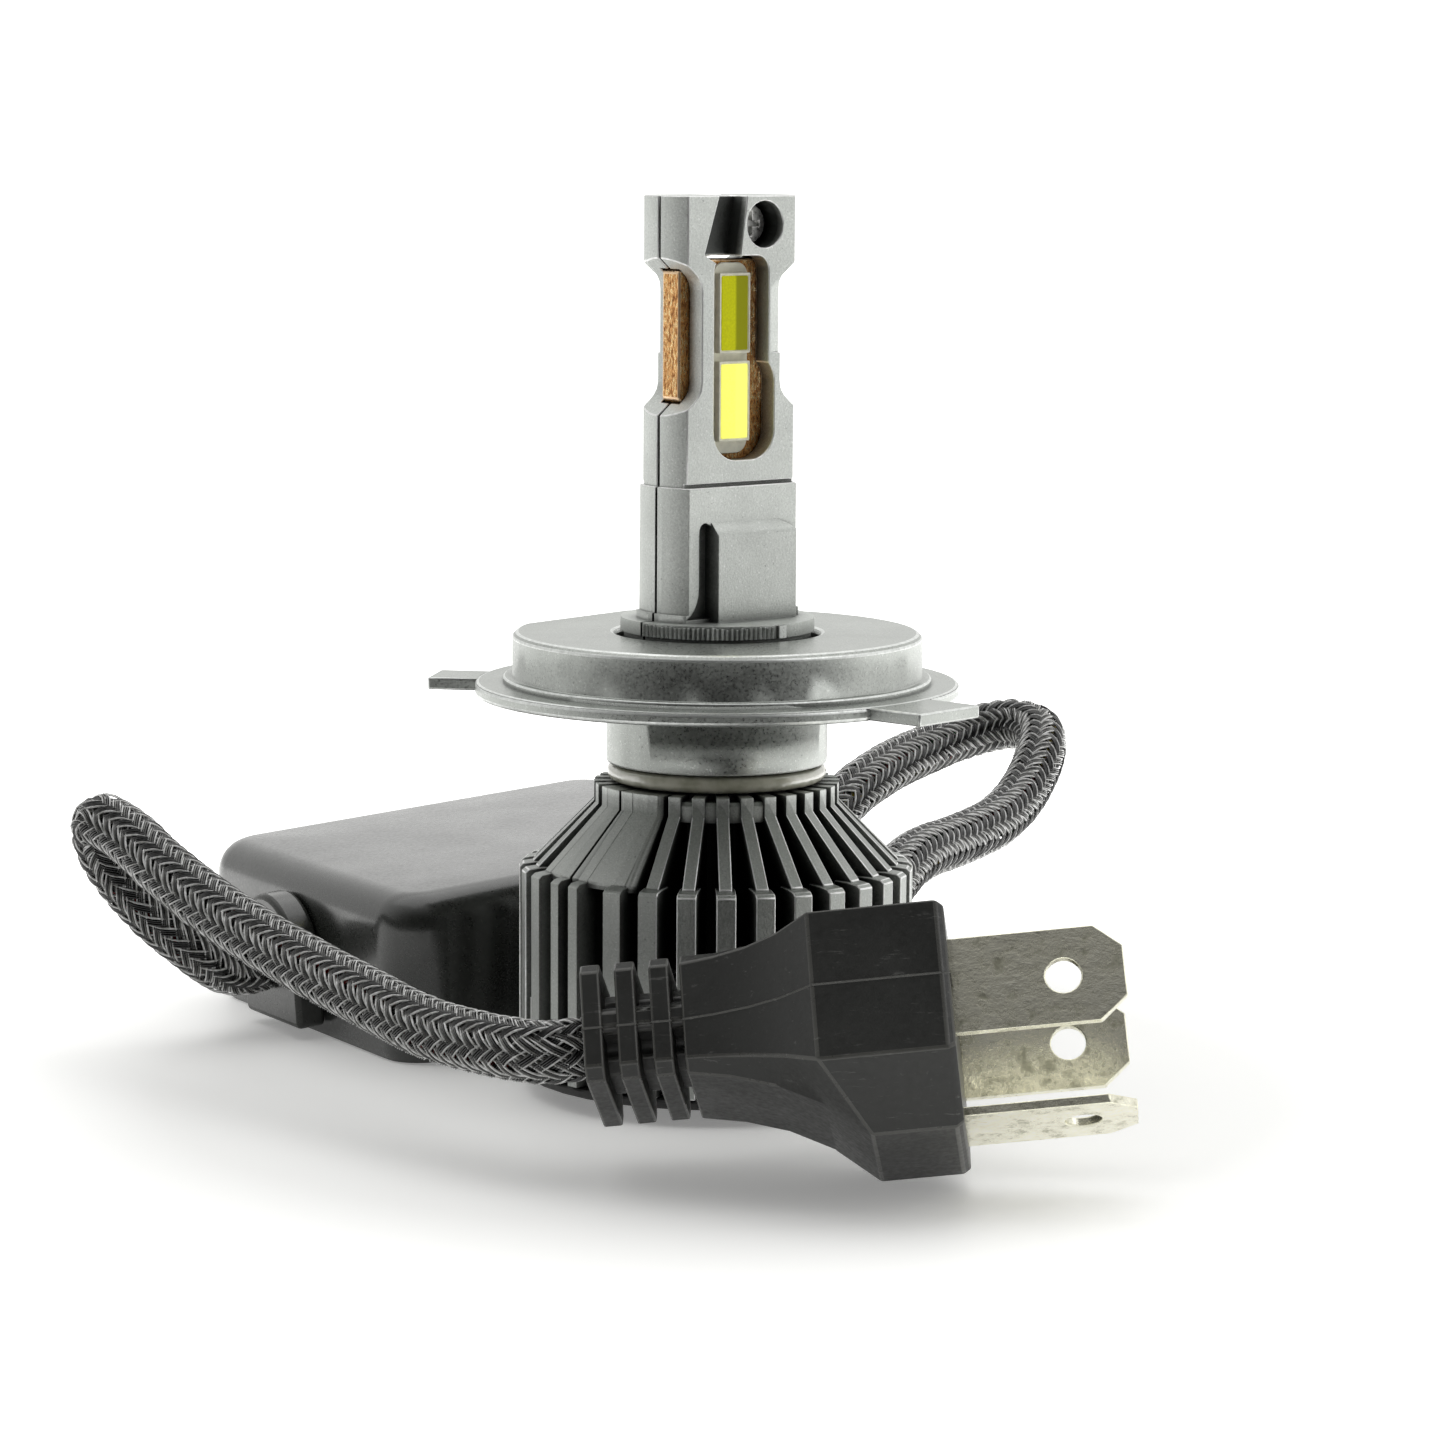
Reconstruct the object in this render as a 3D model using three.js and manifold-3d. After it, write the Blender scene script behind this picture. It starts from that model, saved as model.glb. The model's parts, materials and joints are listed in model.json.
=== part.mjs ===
// LED headlight bulb with an H4 (P43t) collar, a fan-cooled heat sink, a driver box and an H4 plug.
// Millimetres, +Z up. The origin is on the lamp's axis, on the surface that the lamp stands on.
// Azimuth is measured about the axis from -Y, positive towards +X.
import * as THREE from "three";
import { mergeVertices } from "three/addons/utils/BufferGeometryUtils.js";
import Module from "manifold-3d";

const wasm = await Module();
wasm.setup();

// Overall heights
const FLANGE_Z = 36.7;
const LAMP_TOP = FLANGE_Z + 42.8;
const GAP = 0.15;

// Post: two flats on a round bar, split down the middle
const LAMP_TURN = 39.5;
const POST_R = 6.8;
const POST_FLAT = 3.1;
const FOOT_R = 7.0;
const FOOT_FLAT = 3.45;
const FOOT_TOP = FLANGE_Z + 17.6;
const PAD_FLAT = 4.5;
const PAD_TOP = FLANGE_Z + 14.5;
const POST_BASE = FLANGE_Z + 5.8;
const RIM_HEIGHT = 1.2;
const WAIST_HALF = 4.45;
const WAIST_Z = [FLANGE_Z + 23.7, FLANGE_Z + 37.5];

// LEDs on both faces of the copper core
const CORE_THICK = 2.33;
const CORE_NARROW = 4.2;
const CORE_WIDE = 5.5;
const CORE_Z = [16, FLANGE_Z + 37.3];
const WING_CHAMFER = 0.5;
const BOARD_THICK = 0.3;
const BOARD_HALF = 1.95;
const BOARD_Z = [FLANGE_Z + 20.3, FLANGE_Z + 37];
const LED_SIZE = [3.5, 0.6, 7];
const LOW_LED_Z = FLANGE_Z + 32.6;
const HIGH_LED_Z = FLANGE_Z + 24.9;
const HEAD_SCREW = { x: 2.58, z: FLANGE_Z + 40.3, top: -1, headR: 1.7, headH: 0.55, bore: 2.05 };

// Heat sink
const COLUMN_R = 8.3;
const NECK_R = 10.9;
const NECK_TOP = FLANGE_Z - 8.9;
const CONE_TOP = NECK_TOP - 1.7;
const CONE_R = 16.3;
const CONE_FOOT = CONE_TOP - (CONE_R - NECK_R);
const SINK_R = 17.55;
const SINK_BOTTOM = 2.55;
const HUB_BOTTOM = 12.5;
const FAN_WELL_R = 14.6;
const CONE_SKIN = [-64.5, 75.5];
const FIN_PITCH = 11.25;
const FIN_THIN = 1.1;
const FIN_BAR = 1.7;
const SCREW_POSTS = [-25.25, 64.75];
const SCREW_POST_R = 15.95;

// Fan, bottom up; the lamp stands on the cover's foot
const COVER = { r: 17.3, bottom: 1.6, top: 2.4, foot: 5.5 };
const FRAME = { r: 14.2, inner: 13.5, z0: 2.55, z1: 9.6 };
const SHAFT_R = 0.75;

// Collar
const FLANGE_R = 21.5;
const FLANGE_THICK = 1.2;
const BOSS_R = 18.2;
const BOSS_H = 4.43;
const BORE_R = 9.05;
const SLEEVE_R = 9.82;
const SLEEVE_BOTTOM = FLANGE_Z - 7.13;
const TABS = [
  { azimuth: -99, width: 5.4, reach: 25.7 },
  { azimuth: 48, width: 8, reach: 26.6 },
  { azimuth: 154.5, width: 5.4, reach: 25.7 },
];

// Driver box, standing behind the lamp
const DRIVER_AT = [-27.8, 5.1, 0.05];
const DRIVER_TURN = 32;
const DRIVER_PITCH = 4.3;
const DRIVER = [45.2, 41.8, 15.5];
const GLAND_REACH = 3;
const GLAND_HALF = 5.6;
const GLAND_Y = DRIVER[1] / 2 + 1;
const GLAND_Z = 6.8;

// Cables: braided sleeves over three wires
const CABLE_R = 2.7;
const CABLE_GAP = 0.7;
const LAMP_EXIT_AZIMUTH = 152;
const EXIT_Z = 6.8;

// Plug: X along the blades, Y across the two parallel blades, Z up its own height
const PLUG_AT = [18.4, -47.1, 19.9];
const PLUG_TURN = [-31.3, -6.5, -2.8];
const BODY = { end: 23.8, half: 6.2, chamfer: 5, drop: 11.2, block: -10.9, heel: -7.3 };
const RELIEF = { y: 11.9, z: 0.75, halfY: 6.8, halfZ: 5, from: -29.8, to: -21.7 };
const RIB_THICK = 1.6;
const RIB_PITCH = 2.8;
const BLADE = { width: 8, thick: 0.8, reach: 13.8, root: 7 };
const BLADE_LOW_Y = 3.7;
const BLADE_HIGH_Y = 20.1;
const BLADE_GROUND_Z = -9;

const deg = THREE.MathUtils.degToRad;
const polar = (azimuth, radius) => [
  radius * Math.sin(deg(azimuth)),
  -radius * Math.cos(deg(azimuth)),
];

// Solids: manifold-3d only joins and cuts what three.js shapes

function solid(geometry) {
  const bare = geometry.clone();
  bare.deleteAttribute("normal");
  bare.deleteAttribute("uv");
  const merged = mergeVertices(bare, 1e-4);
  return new wasm.Manifold(
    new wasm.Mesh({
      numProp: 3,
      vertProperties: new Float32Array(merged.attributes.position.array),
      triVerts: new Uint32Array(merged.index.array),
    }),
  );
}

function geometryOf(body) {
  const mesh = body.getMesh();
  const geometry = new THREE.BufferGeometry();
  geometry.setAttribute("position", new THREE.BufferAttribute(mesh.vertProperties, 3));
  geometry.setIndex(new THREE.BufferAttribute(mesh.triVerts, 1));
  const faceted = geometry.toNonIndexed();
  faceted.computeVertexNormals();
  return faceted;
}

const joined = (geometries) => geometries.map(solid).reduce((a, b) => a.add(b));
const join = (...geometries) => geometryOf(joined(geometries));
const cut = (base, ...tools) => geometryOf(solid(base).subtract(joined(tools)));
const common = (a, b) => geometryOf(solid(a).intersect(solid(b)));

function box(x0, x1, y0, y1, z0, z1) {
  const geometry = new THREE.BoxGeometry(x1 - x0, y1 - y0, z1 - z0);
  return geometry.translate((x0 + x1) / 2, (y0 + y1) / 2, (z0 + z1) / 2);
}

function shapeOf(points) {
  return new THREE.Shape(points.map(([x, y]) => new THREE.Vector2(x, y)));
}

// A shape in plan, raised from z0 to z1
function prism(shape, z0, z1, curveSegments = 24) {
  const outline = Array.isArray(shape) ? shapeOf(shape) : shape;
  const geometry = new THREE.ExtrudeGeometry(outline, {
    depth: z1 - z0,
    bevelEnabled: false,
    curveSegments,
  });
  return geometry.translate(0, 0, z0);
}

// A shape in the front view (x, z), pushed from y0 to y1
function slab(shape, y0, y1, curveSegments = 24) {
  const geometry = prism(shape, -y1, -y0, curveSegments);
  return geometry.rotateX(Math.PI / 2);
}

// A shape (radius, z) turned about the Z axis, its points in order up the outside
function turned(profile, segments = 64) {
  const points = profile.map(([r, z]) => new THREE.Vector2(r, z));
  return new THREE.LatheGeometry(points, segments).rotateX(Math.PI / 2);
}

function ring(inner, outer, z0, z1, segments = 48) {
  const profile = [
    [inner, z0],
    [outer, z0],
    [outer, z1],
    [inner, z1],
    [inner, z0],
  ];
  return turned(profile, segments);
}

function disc(radius, z0, z1, segments = 36) {
  const profile = [
    [0, z0],
    [radius, z0],
    [radius, z1],
    [0, z1],
  ];
  return turned(profile, segments);
}

const at = (geometry, x, y, z = 0) => geometry.translate(x, y, z);
const spun = (geometry, azimuth) => geometry.rotateZ(deg(azimuth));

function roundedRect(x0, x1, y0, y1, r) {
  const shape = new THREE.Shape();
  shape.moveTo(x0 + r, y0);
  shape.lineTo(x1 - r, y0);
  shape.absarc(x1 - r, y0 + r, r, -Math.PI / 2, 0);
  shape.lineTo(x1, y1 - r);
  shape.absarc(x1 - r, y1 - r, r, 0, Math.PI / 2);
  shape.lineTo(x0 + r, y1);
  shape.absarc(x0 + r, y1 - r, r, Math.PI / 2, Math.PI);
  shape.lineTo(x0, y0 + r);
  shape.absarc(x0 + r, y0 + r, r, Math.PI, 1.5 * Math.PI);
  return shape;
}

const MATERIALS = {
  castAluminium: [0x9ba09d, 0.5, 0.9],
  copper: [0xc8875a, 0.4, 1],
  whiteBoard: [0xe8e6da, 0.6, 0],
  lowBeamPhosphor: [0xa9b000, 0.4, 0],
  highBeamPhosphor: [0xf4f27a, 0.4, 0],
  steel: [0xb8b8b4, 0.3, 1],
  springSteel: [0x8c8c88, 0.35, 1],
  clearRubber: [0xb8b48c, 0.25, 0],
  blackPlastic: [0x1c1c1c, 0.5, 0],
  circuitBoard: [0x24562f, 0.6, 0],
  bronze: [0xa8804a, 0.4, 1],
  ferrite: [0x3a3a3c, 0.6, 0.2],
  braid: [0x4a4a48, 0.5, 0.3],
  satinBlack: [0x20201f, 0.45, 0],
  tin: [0xb9b9a2, 0.3, 1],
};

function part(name, material, geometry) {
  const [color, roughness, metalness] = MATERIALS[material];
  const look = new THREE.MeshStandardMaterial({ color, roughness, metalness });
  const mesh = new THREE.Mesh(geometry, look);
  mesh.name = name;
  return mesh;
}

// Cross-section of one half of the post: round side, flat front at -flat, split at -GAP
function halfBar(radius, flat, z0, z1) {
  const start = Math.asin(GAP / radius);
  const end = Math.asin(flat / radius);
  const shape = new THREE.Shape();
  shape.absarc(0, 0, radius, -start, -end, true);
  shape.absarc(0, 0, radius, Math.PI + end, Math.PI + start, true);
  return prism(shape, z0, z1, 3);
}

// Side waist of the post, on the side given by sign: a cut with curved ends
function waistCut(sign) {
  const [z0, z1] = WAIST_Z;
  const shape = new THREE.Shape();
  const outer = sign * (POST_R + 1);
  const lip = sign * (POST_R + 0.1);
  const inner = sign * WAIST_HALF;
  shape.moveTo(outer, z0);
  shape.lineTo(lip, z0);
  shape.bezierCurveTo(sign * 5.6, z0 + 1.2, inner, z0 + 1.6, inner, z0 + 2.9);
  shape.lineTo(inner, z1 - 2.9);
  shape.bezierCurveTo(inner, z1 - 1.6, sign * 5.6, z1 - 1.2, lip, z1);
  shape.lineTo(outer, z1);
  return slab(shape, -POST_R, 0, 5);
}

// LED window through the front wall, wider in its lower half
function windowCut() {
  const narrow = roundedRect(-3.1, 3.05, FLANGE_Z + 24, FLANGE_Z + 37.6, 1.3);
  const wide = roundedRect(-3.1, 3.75, FLANGE_Z + 19.8, FLANGE_Z + 29.1, 2.6);
  return joined([slab(narrow, -POST_R, 0, 4), slab(wide, -POST_R, 0, 6)]);
}

// Slanting slot down the head, from its top into the window
function headGroove() {
  const z = (height) => FLANGE_Z + height;
  const outline = [
    [-4.2, z(37.7)],
    [-2.9, z(37)],
    [-0.4, z(37)],
    [-0.2, z(37.7)],
    [0.65, z(43.3)],
    [-2.4, z(43.3)],
  ];
  return slab(outline, -POST_R, -1.1);
}

// Slanting facet of the front face between the upper window and the waist on its right
function sideFacet() {
  const z = (height) => FLANGE_Z + height;
  const edge = 3.3;
  const outline = [
    [edge, z(29.1)],
    [POST_R, z(29.1)],
    [POST_R, z(37.5)],
    [edge, z(34.8)],
  ];
  const behind = prism(
    [
      [edge, -POST_R],
      [POST_R, -POST_R],
      [POST_R, 0.85 - POST_FLAT],
      [edge, -POST_FLAT],
    ],
    z(29),
    z(38),
  );
  return common(slab(outline, -POST_R, 0), behind);
}

// Shallow groove across the front, where the post steps out to its foot
function footGroove() {
  return box(-POST_R, POST_R, -POST_R, 0.3 - POST_FLAT, FOOT_TOP - 0.02, FOOT_TOP + 0.26);
}

// Slot beside the pad on the foot of the post; its lower end runs out to the left
function padSlot() {
  const shape = new THREE.Shape();
  const bottom = POST_BASE + 0.3;
  shape.moveTo(-3.6, bottom);
  shape.lineTo(-3.6, PAD_TOP - 0.3);
  shape.lineTo(-4.2, PAD_TOP);
  shape.quadraticCurveTo(-4.95, PAD_TOP, -4.95, PAD_TOP - 0.9);
  shape.lineTo(-4.95, bottom + 2.8);
  shape.quadraticCurveTo(-4.95, bottom + 0.8, -6.4, bottom);
  return slab(shape, -POST_R, -2.6, 5);
}

// The pad: a shallower flat low on the post, with a sloping top and a round corner
function pad() {
  const side = [
    [-2, POST_BASE],
    [-2, PAD_TOP],
    [-FOOT_FLAT, PAD_TOP],
    [-PAD_FLAT, PAD_TOP - 1.1],
    [-PAD_FLAT, POST_BASE],
  ];
  const front = new THREE.Shape();
  front.moveTo(-3.6, POST_BASE);
  front.lineTo(POST_R, POST_BASE);
  front.lineTo(POST_R, PAD_TOP - 3);
  front.quadraticCurveTo(POST_R - 1.4, PAD_TOP, POST_R - 3.4, PAD_TOP);
  front.lineTo(-3.6, PAD_TOP);
  const profile = prism(side, -3.6, POST_R);
  profile.rotateX(Math.PI / 2).rotateZ(Math.PI / 2);
  const face = common(profile, slab(front, -POST_R, 0, 5));
  return common(face, disc(FOOT_R - 0.05, POST_BASE, PAD_TOP, 48));
}

// The space in front of the split
const frontHalf = () => box(-FLANGE_R, FLANGE_R, -FLANGE_R, -GAP, 0, LAMP_TOP);

function fin(azimuth, barWidth) {
  const underSkin = azimuth < CONE_SKIN[0] || azimuth > CONE_SKIN[1];
  const outline = [
    [COLUMN_R - 1, HUB_BOTTOM],
    [FAN_WELL_R, HUB_BOTTOM],
    [CONE_R, HUB_BOTTOM],
    [CONE_R, CONE_FOOT],
    [NECK_R, CONE_TOP],
    [NECK_R, NECK_TOP],
    [COLUMN_R - 1, NECK_TOP],
  ];
  const thin = Math.min(FIN_THIN, barWidth);
  const plate = slab(outline, -thin / 2, thin / 2);
  const bar = slab(
    [
      [FAN_WELL_R, SINK_BOTTOM],
      [SINK_R, SINK_BOTTOM],
      [SINK_R, CONE_FOOT - 0.55],
      [SINK_R - 0.35, CONE_FOOT - 0.25],
      [CONE_R - 0.2, CONE_FOOT - 0.1],
      [FAN_WELL_R, CONE_FOOT - (underSkin ? 0.6 : 0.1)],
    ],
    -barWidth / 2,
    barWidth / 2,
  );
  return [plate, bar].map((piece) => spun(piece, azimuth - 90));
}

function finAngles() {
  const angles = [[-84.5, 1.1]];
  for (let i = 0; i < 14; i += 1) angles.push([-70.25 + i * FIN_PITCH, FIN_BAR]);
  angles.push([87.4, 1.1]);
  return angles;
}

// Plain cone skin that covers the fins next to the split, between two azimuths
function coneSkin(from, to) {
  const skin = turned(
    [
      [COLUMN_R - 1, CONE_FOOT - 0.6],
      [CONE_R, CONE_FOOT - 0.6],
      [CONE_R, CONE_FOOT],
      [NECK_R, CONE_TOP],
      [NECK_R, NECK_TOP],
      [COLUMN_R - 1, NECK_TOP],
      [COLUMN_R - 1, CONE_FOOT - 0.6],
    ],
    64,
  );
  const reach = SINK_R * 1.5;
  const middle = (from + to) / 2;
  const wedge = prism([[0, 0], polar(from, reach), polar(middle, reach), polar(to, reach)], 0, NECK_TOP + 1);
  return common(skin, wedge);
}

// One die-cast half: half the post and half the heat sink
function castHalf() {
  const column = common(disc(COLUMN_R, HUB_BOTTOM, POST_BASE - RIM_HEIGHT, 48), frontHalf());
  const rim = common(disc(COLUMN_R + 0.3, POST_BASE - RIM_HEIGHT, POST_BASE, 48), frontHalf());
  const hub = common(
    turned(
      [
        [0, HUB_BOTTOM],
        [9.8, HUB_BOTTOM],
        [9.2, CONE_TOP],
        [8.6, NECK_TOP],
        [0, NECK_TOP],
      ],
      32,
    ),
    frontHalf(),
  );
  const fins = finAngles().flatMap(([azimuth, width]) => fin(azimuth, width));
  const posts = SCREW_POSTS.map((azimuth) =>
    at(disc(1.5, SINK_BOTTOM, 9, 10), ...polar(azimuth, SCREW_POST_R)),
  );
  const sink = common(
    join(hub, coneSkin(-90, CONE_SKIN[0]), coneSkin(CONE_SKIN[1], 90), ...fins, ...posts),
    frontHalf(),
  );
  const body = joined([
    sink,
    column,
    rim,
    halfBar(FOOT_R, FOOT_FLAT, POST_BASE - 0.5, FOOT_TOP),
    halfBar(FOOT_R + 0.3, FOOT_FLAT, POST_BASE - 0.5, POST_BASE + 0.7),
    halfBar(POST_R, POST_FLAT, FOOT_TOP - 0.5, LAMP_TOP),
    common(pad(), frontHalf()),
  ]);
  const pocket = CORE_THICK / 2 + 0.15;
  const cuts = [
    slab(coreOutline(0.2), -pocket, 1),
    waistCut(-1),
    waistCut(1),
    headGroove(),
    sideFacet(),
    footGroove(),
    padSlot(),
    ...SCREW_POSTS.map((azimuth) =>
      at(disc(0.65, SINK_BOTTOM - 1, 8, 8), ...polar(azimuth, SCREW_POST_R)),
    ),
  ];
  return body.subtract(joined(cuts)).subtract(windowCut());
}

// Horizontal hole through the head at the screw, from y0 to y1
function headHole(radius, y0, y1, x = HEAD_SCREW.x) {
  const hole = disc(radius, y0, y1, 24).rotateX(-Math.PI / 2);
  return solid(at(hole, x, 0, HEAD_SCREW.z));
}

function frontShell() {
  const { top, headH, bore } = HEAD_SCREW;
  const half = castHalf()
    .subtract(headHole(bore, -POST_R, top + headH + 0.05))
    .subtract(headHole(0.95, -POST_R, 1));
  return part("front_shell", "castAluminium", geometryOf(half));
}

function exitAzimuth() {
  return LAMP_EXIT_AZIMUTH - LAMP_TURN - 180;
}

// The back casting: the same half turned round, with the screw's thread hole and the cable outlet
function backShell() {
  const outlet = spun(box(-4.1, 4.1, -20, -10, SINK_BOTTOM - 1, 10.6), exitAzimuth());
  const half = castHalf()
    .subtract(headHole(0.8, -2.2, 1, -HEAD_SCREW.x))
    .subtract(solid(outlet));
  const mesh = part("back_shell", "castAluminium", geometryOf(half));
  mesh.rotation.z = Math.PI;
  return mesh;
}

// Outline of the copper core: a bar with wings that fill the waist, grown by the given amount
function coreOutline(grow = 0) {
  const [z0, z1] = CORE_Z;
  const low = WAIST_Z[0] + 1 - grow;
  const high = WAIST_Z[1] - 0.8 + grow;
  const narrow = CORE_NARROW + grow;
  const wide = CORE_WIDE + grow;
  const right = [
    [narrow, z0 - grow],
    [narrow, low],
    [wide - WING_CHAMFER, low],
    [wide, low + WING_CHAMFER],
    [wide, high - WING_CHAMFER],
    [wide - WING_CHAMFER, high],
    [narrow, high],
    [narrow, z1 + grow],
  ];
  const left = right.map(([x, z]) => [-x, z]).reverse();
  return [...right, ...left];
}

function ledSide(side) {
  const boardY = CORE_THICK / 2 + 0.05;
  const ledY = boardY + BOARD_THICK + 0.05;
  const board = roundedRect(-BOARD_HALF, BOARD_HALF, ...BOARD_Z, 1.2);
  const [width, thick, height] = LED_SIZE;
  const chip = (z) => box(-width / 2, width / 2, -ledY - thick, -ledY, z - height / 2, z + height / 2);
  const group = new THREE.Group();
  group.add(
    part("led_board_" + side, "whiteBoard", slab(board, -boardY - BOARD_THICK, -boardY, 4)),
    part("low_beam_led_" + side, "lowBeamPhosphor", chip(LOW_LED_Z)),
    part("high_beam_led_" + side, "highBeamPhosphor", chip(HIGH_LED_Z)),
  );
  if (side === "back") group.rotation.z = Math.PI;
  return group;
}

// A screw with a cross recess, its head's top at z = 0 and its shank downwards
function screwGeometry(headR, headH, shankR, length) {
  const body = joined([disc(headR, -headH, 0, 16), disc(shankR, -length, -headH + 0.1, 8)]);
  const arm = headR * 0.62;
  const slot = headR * 0.14;
  const cross = [
    box(-arm, arm, -slot, slot, -headH * 0.6, 1),
    box(-slot, slot, -arm, arm, -headH * 0.6, 1),
  ];
  return geometryOf(body.subtract(joined(cross)));
}

function headScrew() {
  const { x, z, top, headR, headH } = HEAD_SCREW;
  const mesh = part("head_screw", "steel", screwGeometry(headR, headH, 0.72, 3.1));
  mesh.rotation.x = Math.PI / 2;
  mesh.position.set(x, top, z);
  return mesh;
}

function sector(inner, outer, from, to) {
  const shape = new THREE.Shape();
  shape.absarc(0, 0, outer, deg(from), deg(to), false);
  shape.absarc(0, 0, inner, deg(to), deg(from), true);
  return shape;
}

function fanCover() {
  const { r, bottom, top, foot } = COVER;
  const slots = [];
  for (const [inner, outer] of [[6, 8.2], [9.2, 13.2]]) {
    for (let i = 0; i < 6; i += 1) {
      slots.push(prism(sector(inner, outer, i * 60 + 5, i * 60 + 55), 0, 3, 3));
    }
  }
  const holes = screwPlaces().flatMap(([x, y]) => [
    at(disc(0.75, 0, 3, 8), x, y),
    at(disc(1.25, 0, bottom + 0.5, 12), x, y),
  ]);
  const body = joined([disc(r, bottom, top, 36), disc(foot, 0, top, 32)]);
  return part("fan_cover", "blackPlastic", geometryOf(body.subtract(joined([...slots, ...holes]))));
}

function screwPlaces() {
  return SCREW_POSTS.flatMap((azimuth) => [
    polar(azimuth, SCREW_POST_R),
    polar(azimuth + 180, SCREW_POST_R),
  ]);
}

function coverScrews() {
  return screwPlaces().map(([x, y], i) => {
    const mesh = part("cover_screw_" + (i + 1), "steel", screwGeometry(1.15, 0.4, 0.5, 6));
    mesh.rotation.x = Math.PI;
    mesh.position.set(x, y, COVER.bottom + 0.05);
    return mesh;
  });
}

function fanFrame() {
  const { r, inner, z0, z1 } = FRAME;
  const floor = z0 + 1;
  const arms = [];
  for (let i = 0; i < 4; i += 1) arms.push(spun(box(-0.7, 0.7, 5, r - 0.2, z0, floor), i * 90 + 20));
  const rim = ring(inner, r, z0, z1);
  const seat = disc(6.6, z0, floor, 32);
  const tube = ring(1.55, 2.2, z0, z0 + 5.85, 24);
  const bore = solid(disc(1.55, z0 + 0.4, z1, 24));
  return part("fan_frame", "blackPlastic", geometryOf(joined([rim, seat, tube, ...arms]).subtract(bore)));
}

function fanStator() {
  const z = FRAME.z0 + 1.85;
  const poles = [ring(2.3, 3.3, z, z + 3, 24)];
  for (let i = 0; i < 4; i += 1) {
    const shoe = box(-1.9, 1.9, 4.6, 5.8, z + 0.3, z + 2.7);
    poles.push(spun(box(-0.8, 0.8, 3, 5.2, z + 0.6, z + 2.4), i * 90));
    poles.push(common(spun(shoe, i * 90), disc(5.3, z, z + 3, 48)));
  }
  return part("fan_stator", "copper", join(...poles));
}

function fanRotor() {
  const z0 = FRAME.z0 + 1.65;
  const roof = z0 + 4.5;
  const top = z0 + 5.3;
  const cup = [
    [1.0, roof],
    [6.1, roof],
    [6.1, z0],
    [6.8, z0],
    [6.8, top],
    [1.0, top],
    [1.0, roof],
  ];
  const blades = [];
  for (let i = 0; i < 9; i += 1) {
    const blade = box(-0.35, 0.35, 6.6, 13.1, -3.0, 3.0).rotateY(deg(40));
    blades.push(spun(at(blade, 0, 0, z0 + 2.5), i * 40));
  }
  const inWell = ring(6.5, 13.1, z0 - 0.1, top - 0.2, 36);
  const hub = solid(turned(cup, 48));
  return part("fan_rotor", "blackPlastic", geometryOf(hub.add(solid(common(join(...blades), inWell)))));
}

function fanParts() {
  const { z0 } = FRAME;
  return [
    fanCover(),
    ...coverScrews(),
    fanFrame(),
    part("fan_board", "circuitBoard", ring(2.35, 5.7, z0 + 1.1, z0 + 1.6, 32)),
    part("fan_bearing", "bronze", ring(SHAFT_R + 0.05, 1.5, z0 + 0.5, z0 + 5.65, 24)),
    fanStator(),
  ];
}

function rotorParts() {
  const { z0 } = FRAME;
  return [
    part("fan_magnet", "ferrite", ring(5.45, 6.05, z0 + 1.95, z0 + 5.65, 32)),
    fanRotor(),
    part("fan_shaft", "steel", disc(SHAFT_R, z0 + 0.55, z0 + 6.95, 24)),
  ];
}

// Rubber grommet where the cable leaves the heat sink
function lampGland() {
  return cut(roundedBlock(7.4, 6.6, 3.4, 1.6), roundedBlock(5.2, 3.2, 9, 1.4));
}

// A block along Y with rounded corners, its cross-section width by height, centred on the origin
function roundedBlock(width, height, length, radius) {
  const outline = roundedRect(-width / 2, width / 2, -height / 2, height / 2, radius);
  return slab(outline, -length / 2, length / 2, 4);
}

function lampExit() {
  const group = new THREE.Group();
  group.rotation.z = deg(LAMP_EXIT_AZIMUTH);
  const gland = part("lamp_gland", "satinBlack", lampGland());
  gland.position.set(0, -SINK_R + 1.3, EXIT_Z);
  group.add(gland);
  return group;
}

function collar() {
  const bottom = FLANGE_Z - FLANGE_THICK;
  const top = FLANGE_Z + BOSS_H;
  const body = solid(
    turned(
      [
        [BORE_R, SLEEVE_BOTTOM],
        [SLEEVE_R, SLEEVE_BOTTOM],
        [SLEEVE_R, bottom],
        [FLANGE_R - 0.2, bottom],
        [FLANGE_R, bottom + 0.2],
        [FLANGE_R, FLANGE_Z - 0.2],
        [FLANGE_R - 0.2, FLANGE_Z],
        [19, FLANGE_Z],
        [19, FLANGE_Z + 0.5],
        [BOSS_R, FLANGE_Z + 0.55],
        [BOSS_R, top - 0.4],
        [BOSS_R - 0.4, top],
        [BORE_R + 0.3, top],
        [BORE_R, top - 0.3],
        [BORE_R, FLANGE_Z + 2],
        [BORE_R + 1.15, FLANGE_Z + 2],
        [BORE_R + 1.15, FLANGE_Z + 0.4],
        [BORE_R, FLANGE_Z + 0.4],
        [BORE_R, SLEEVE_BOTTOM],
      ],
      60,
    ),
  );
  const tabs = TABS.map(({ azimuth, width, reach }) =>
    spun(box(-width / 2, width / 2, -reach, -20, bottom + 0.05, FLANGE_Z - 0.05), azimuth),
  );
  const flatCut = spun(box(-20, 20, -24, -16.4, FLANGE_Z + 0.6, top + 1), -129);
  return part("collar", "castAluminium", geometryOf(body.add(joined(tabs)).subtract(solid(flatCut))));
}

function snapRing() {
  const shape = sector(8.75, 9.95, 12, 348);
  return part("snap_ring", "springSteel", prism(shape, FLANGE_Z + 0.7, FLANGE_Z + 1.7, 24));
}

function oRing() {
  const torus = new THREE.TorusGeometry(9.15, 0.62, 8, 36).scale(1, 1, 1.2);
  return part("o_ring", "clearRubber", at(torus, 0, 0, FLANGE_Z - 8.02));
}

// Driver: an inverted tray closed by a base plate, with a circuit board inside
function driverShape(inset, radius) {
  const [length, width] = DRIVER;
  return roundedRect(inset, length - inset, inset, width - inset, radius);
}

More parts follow.
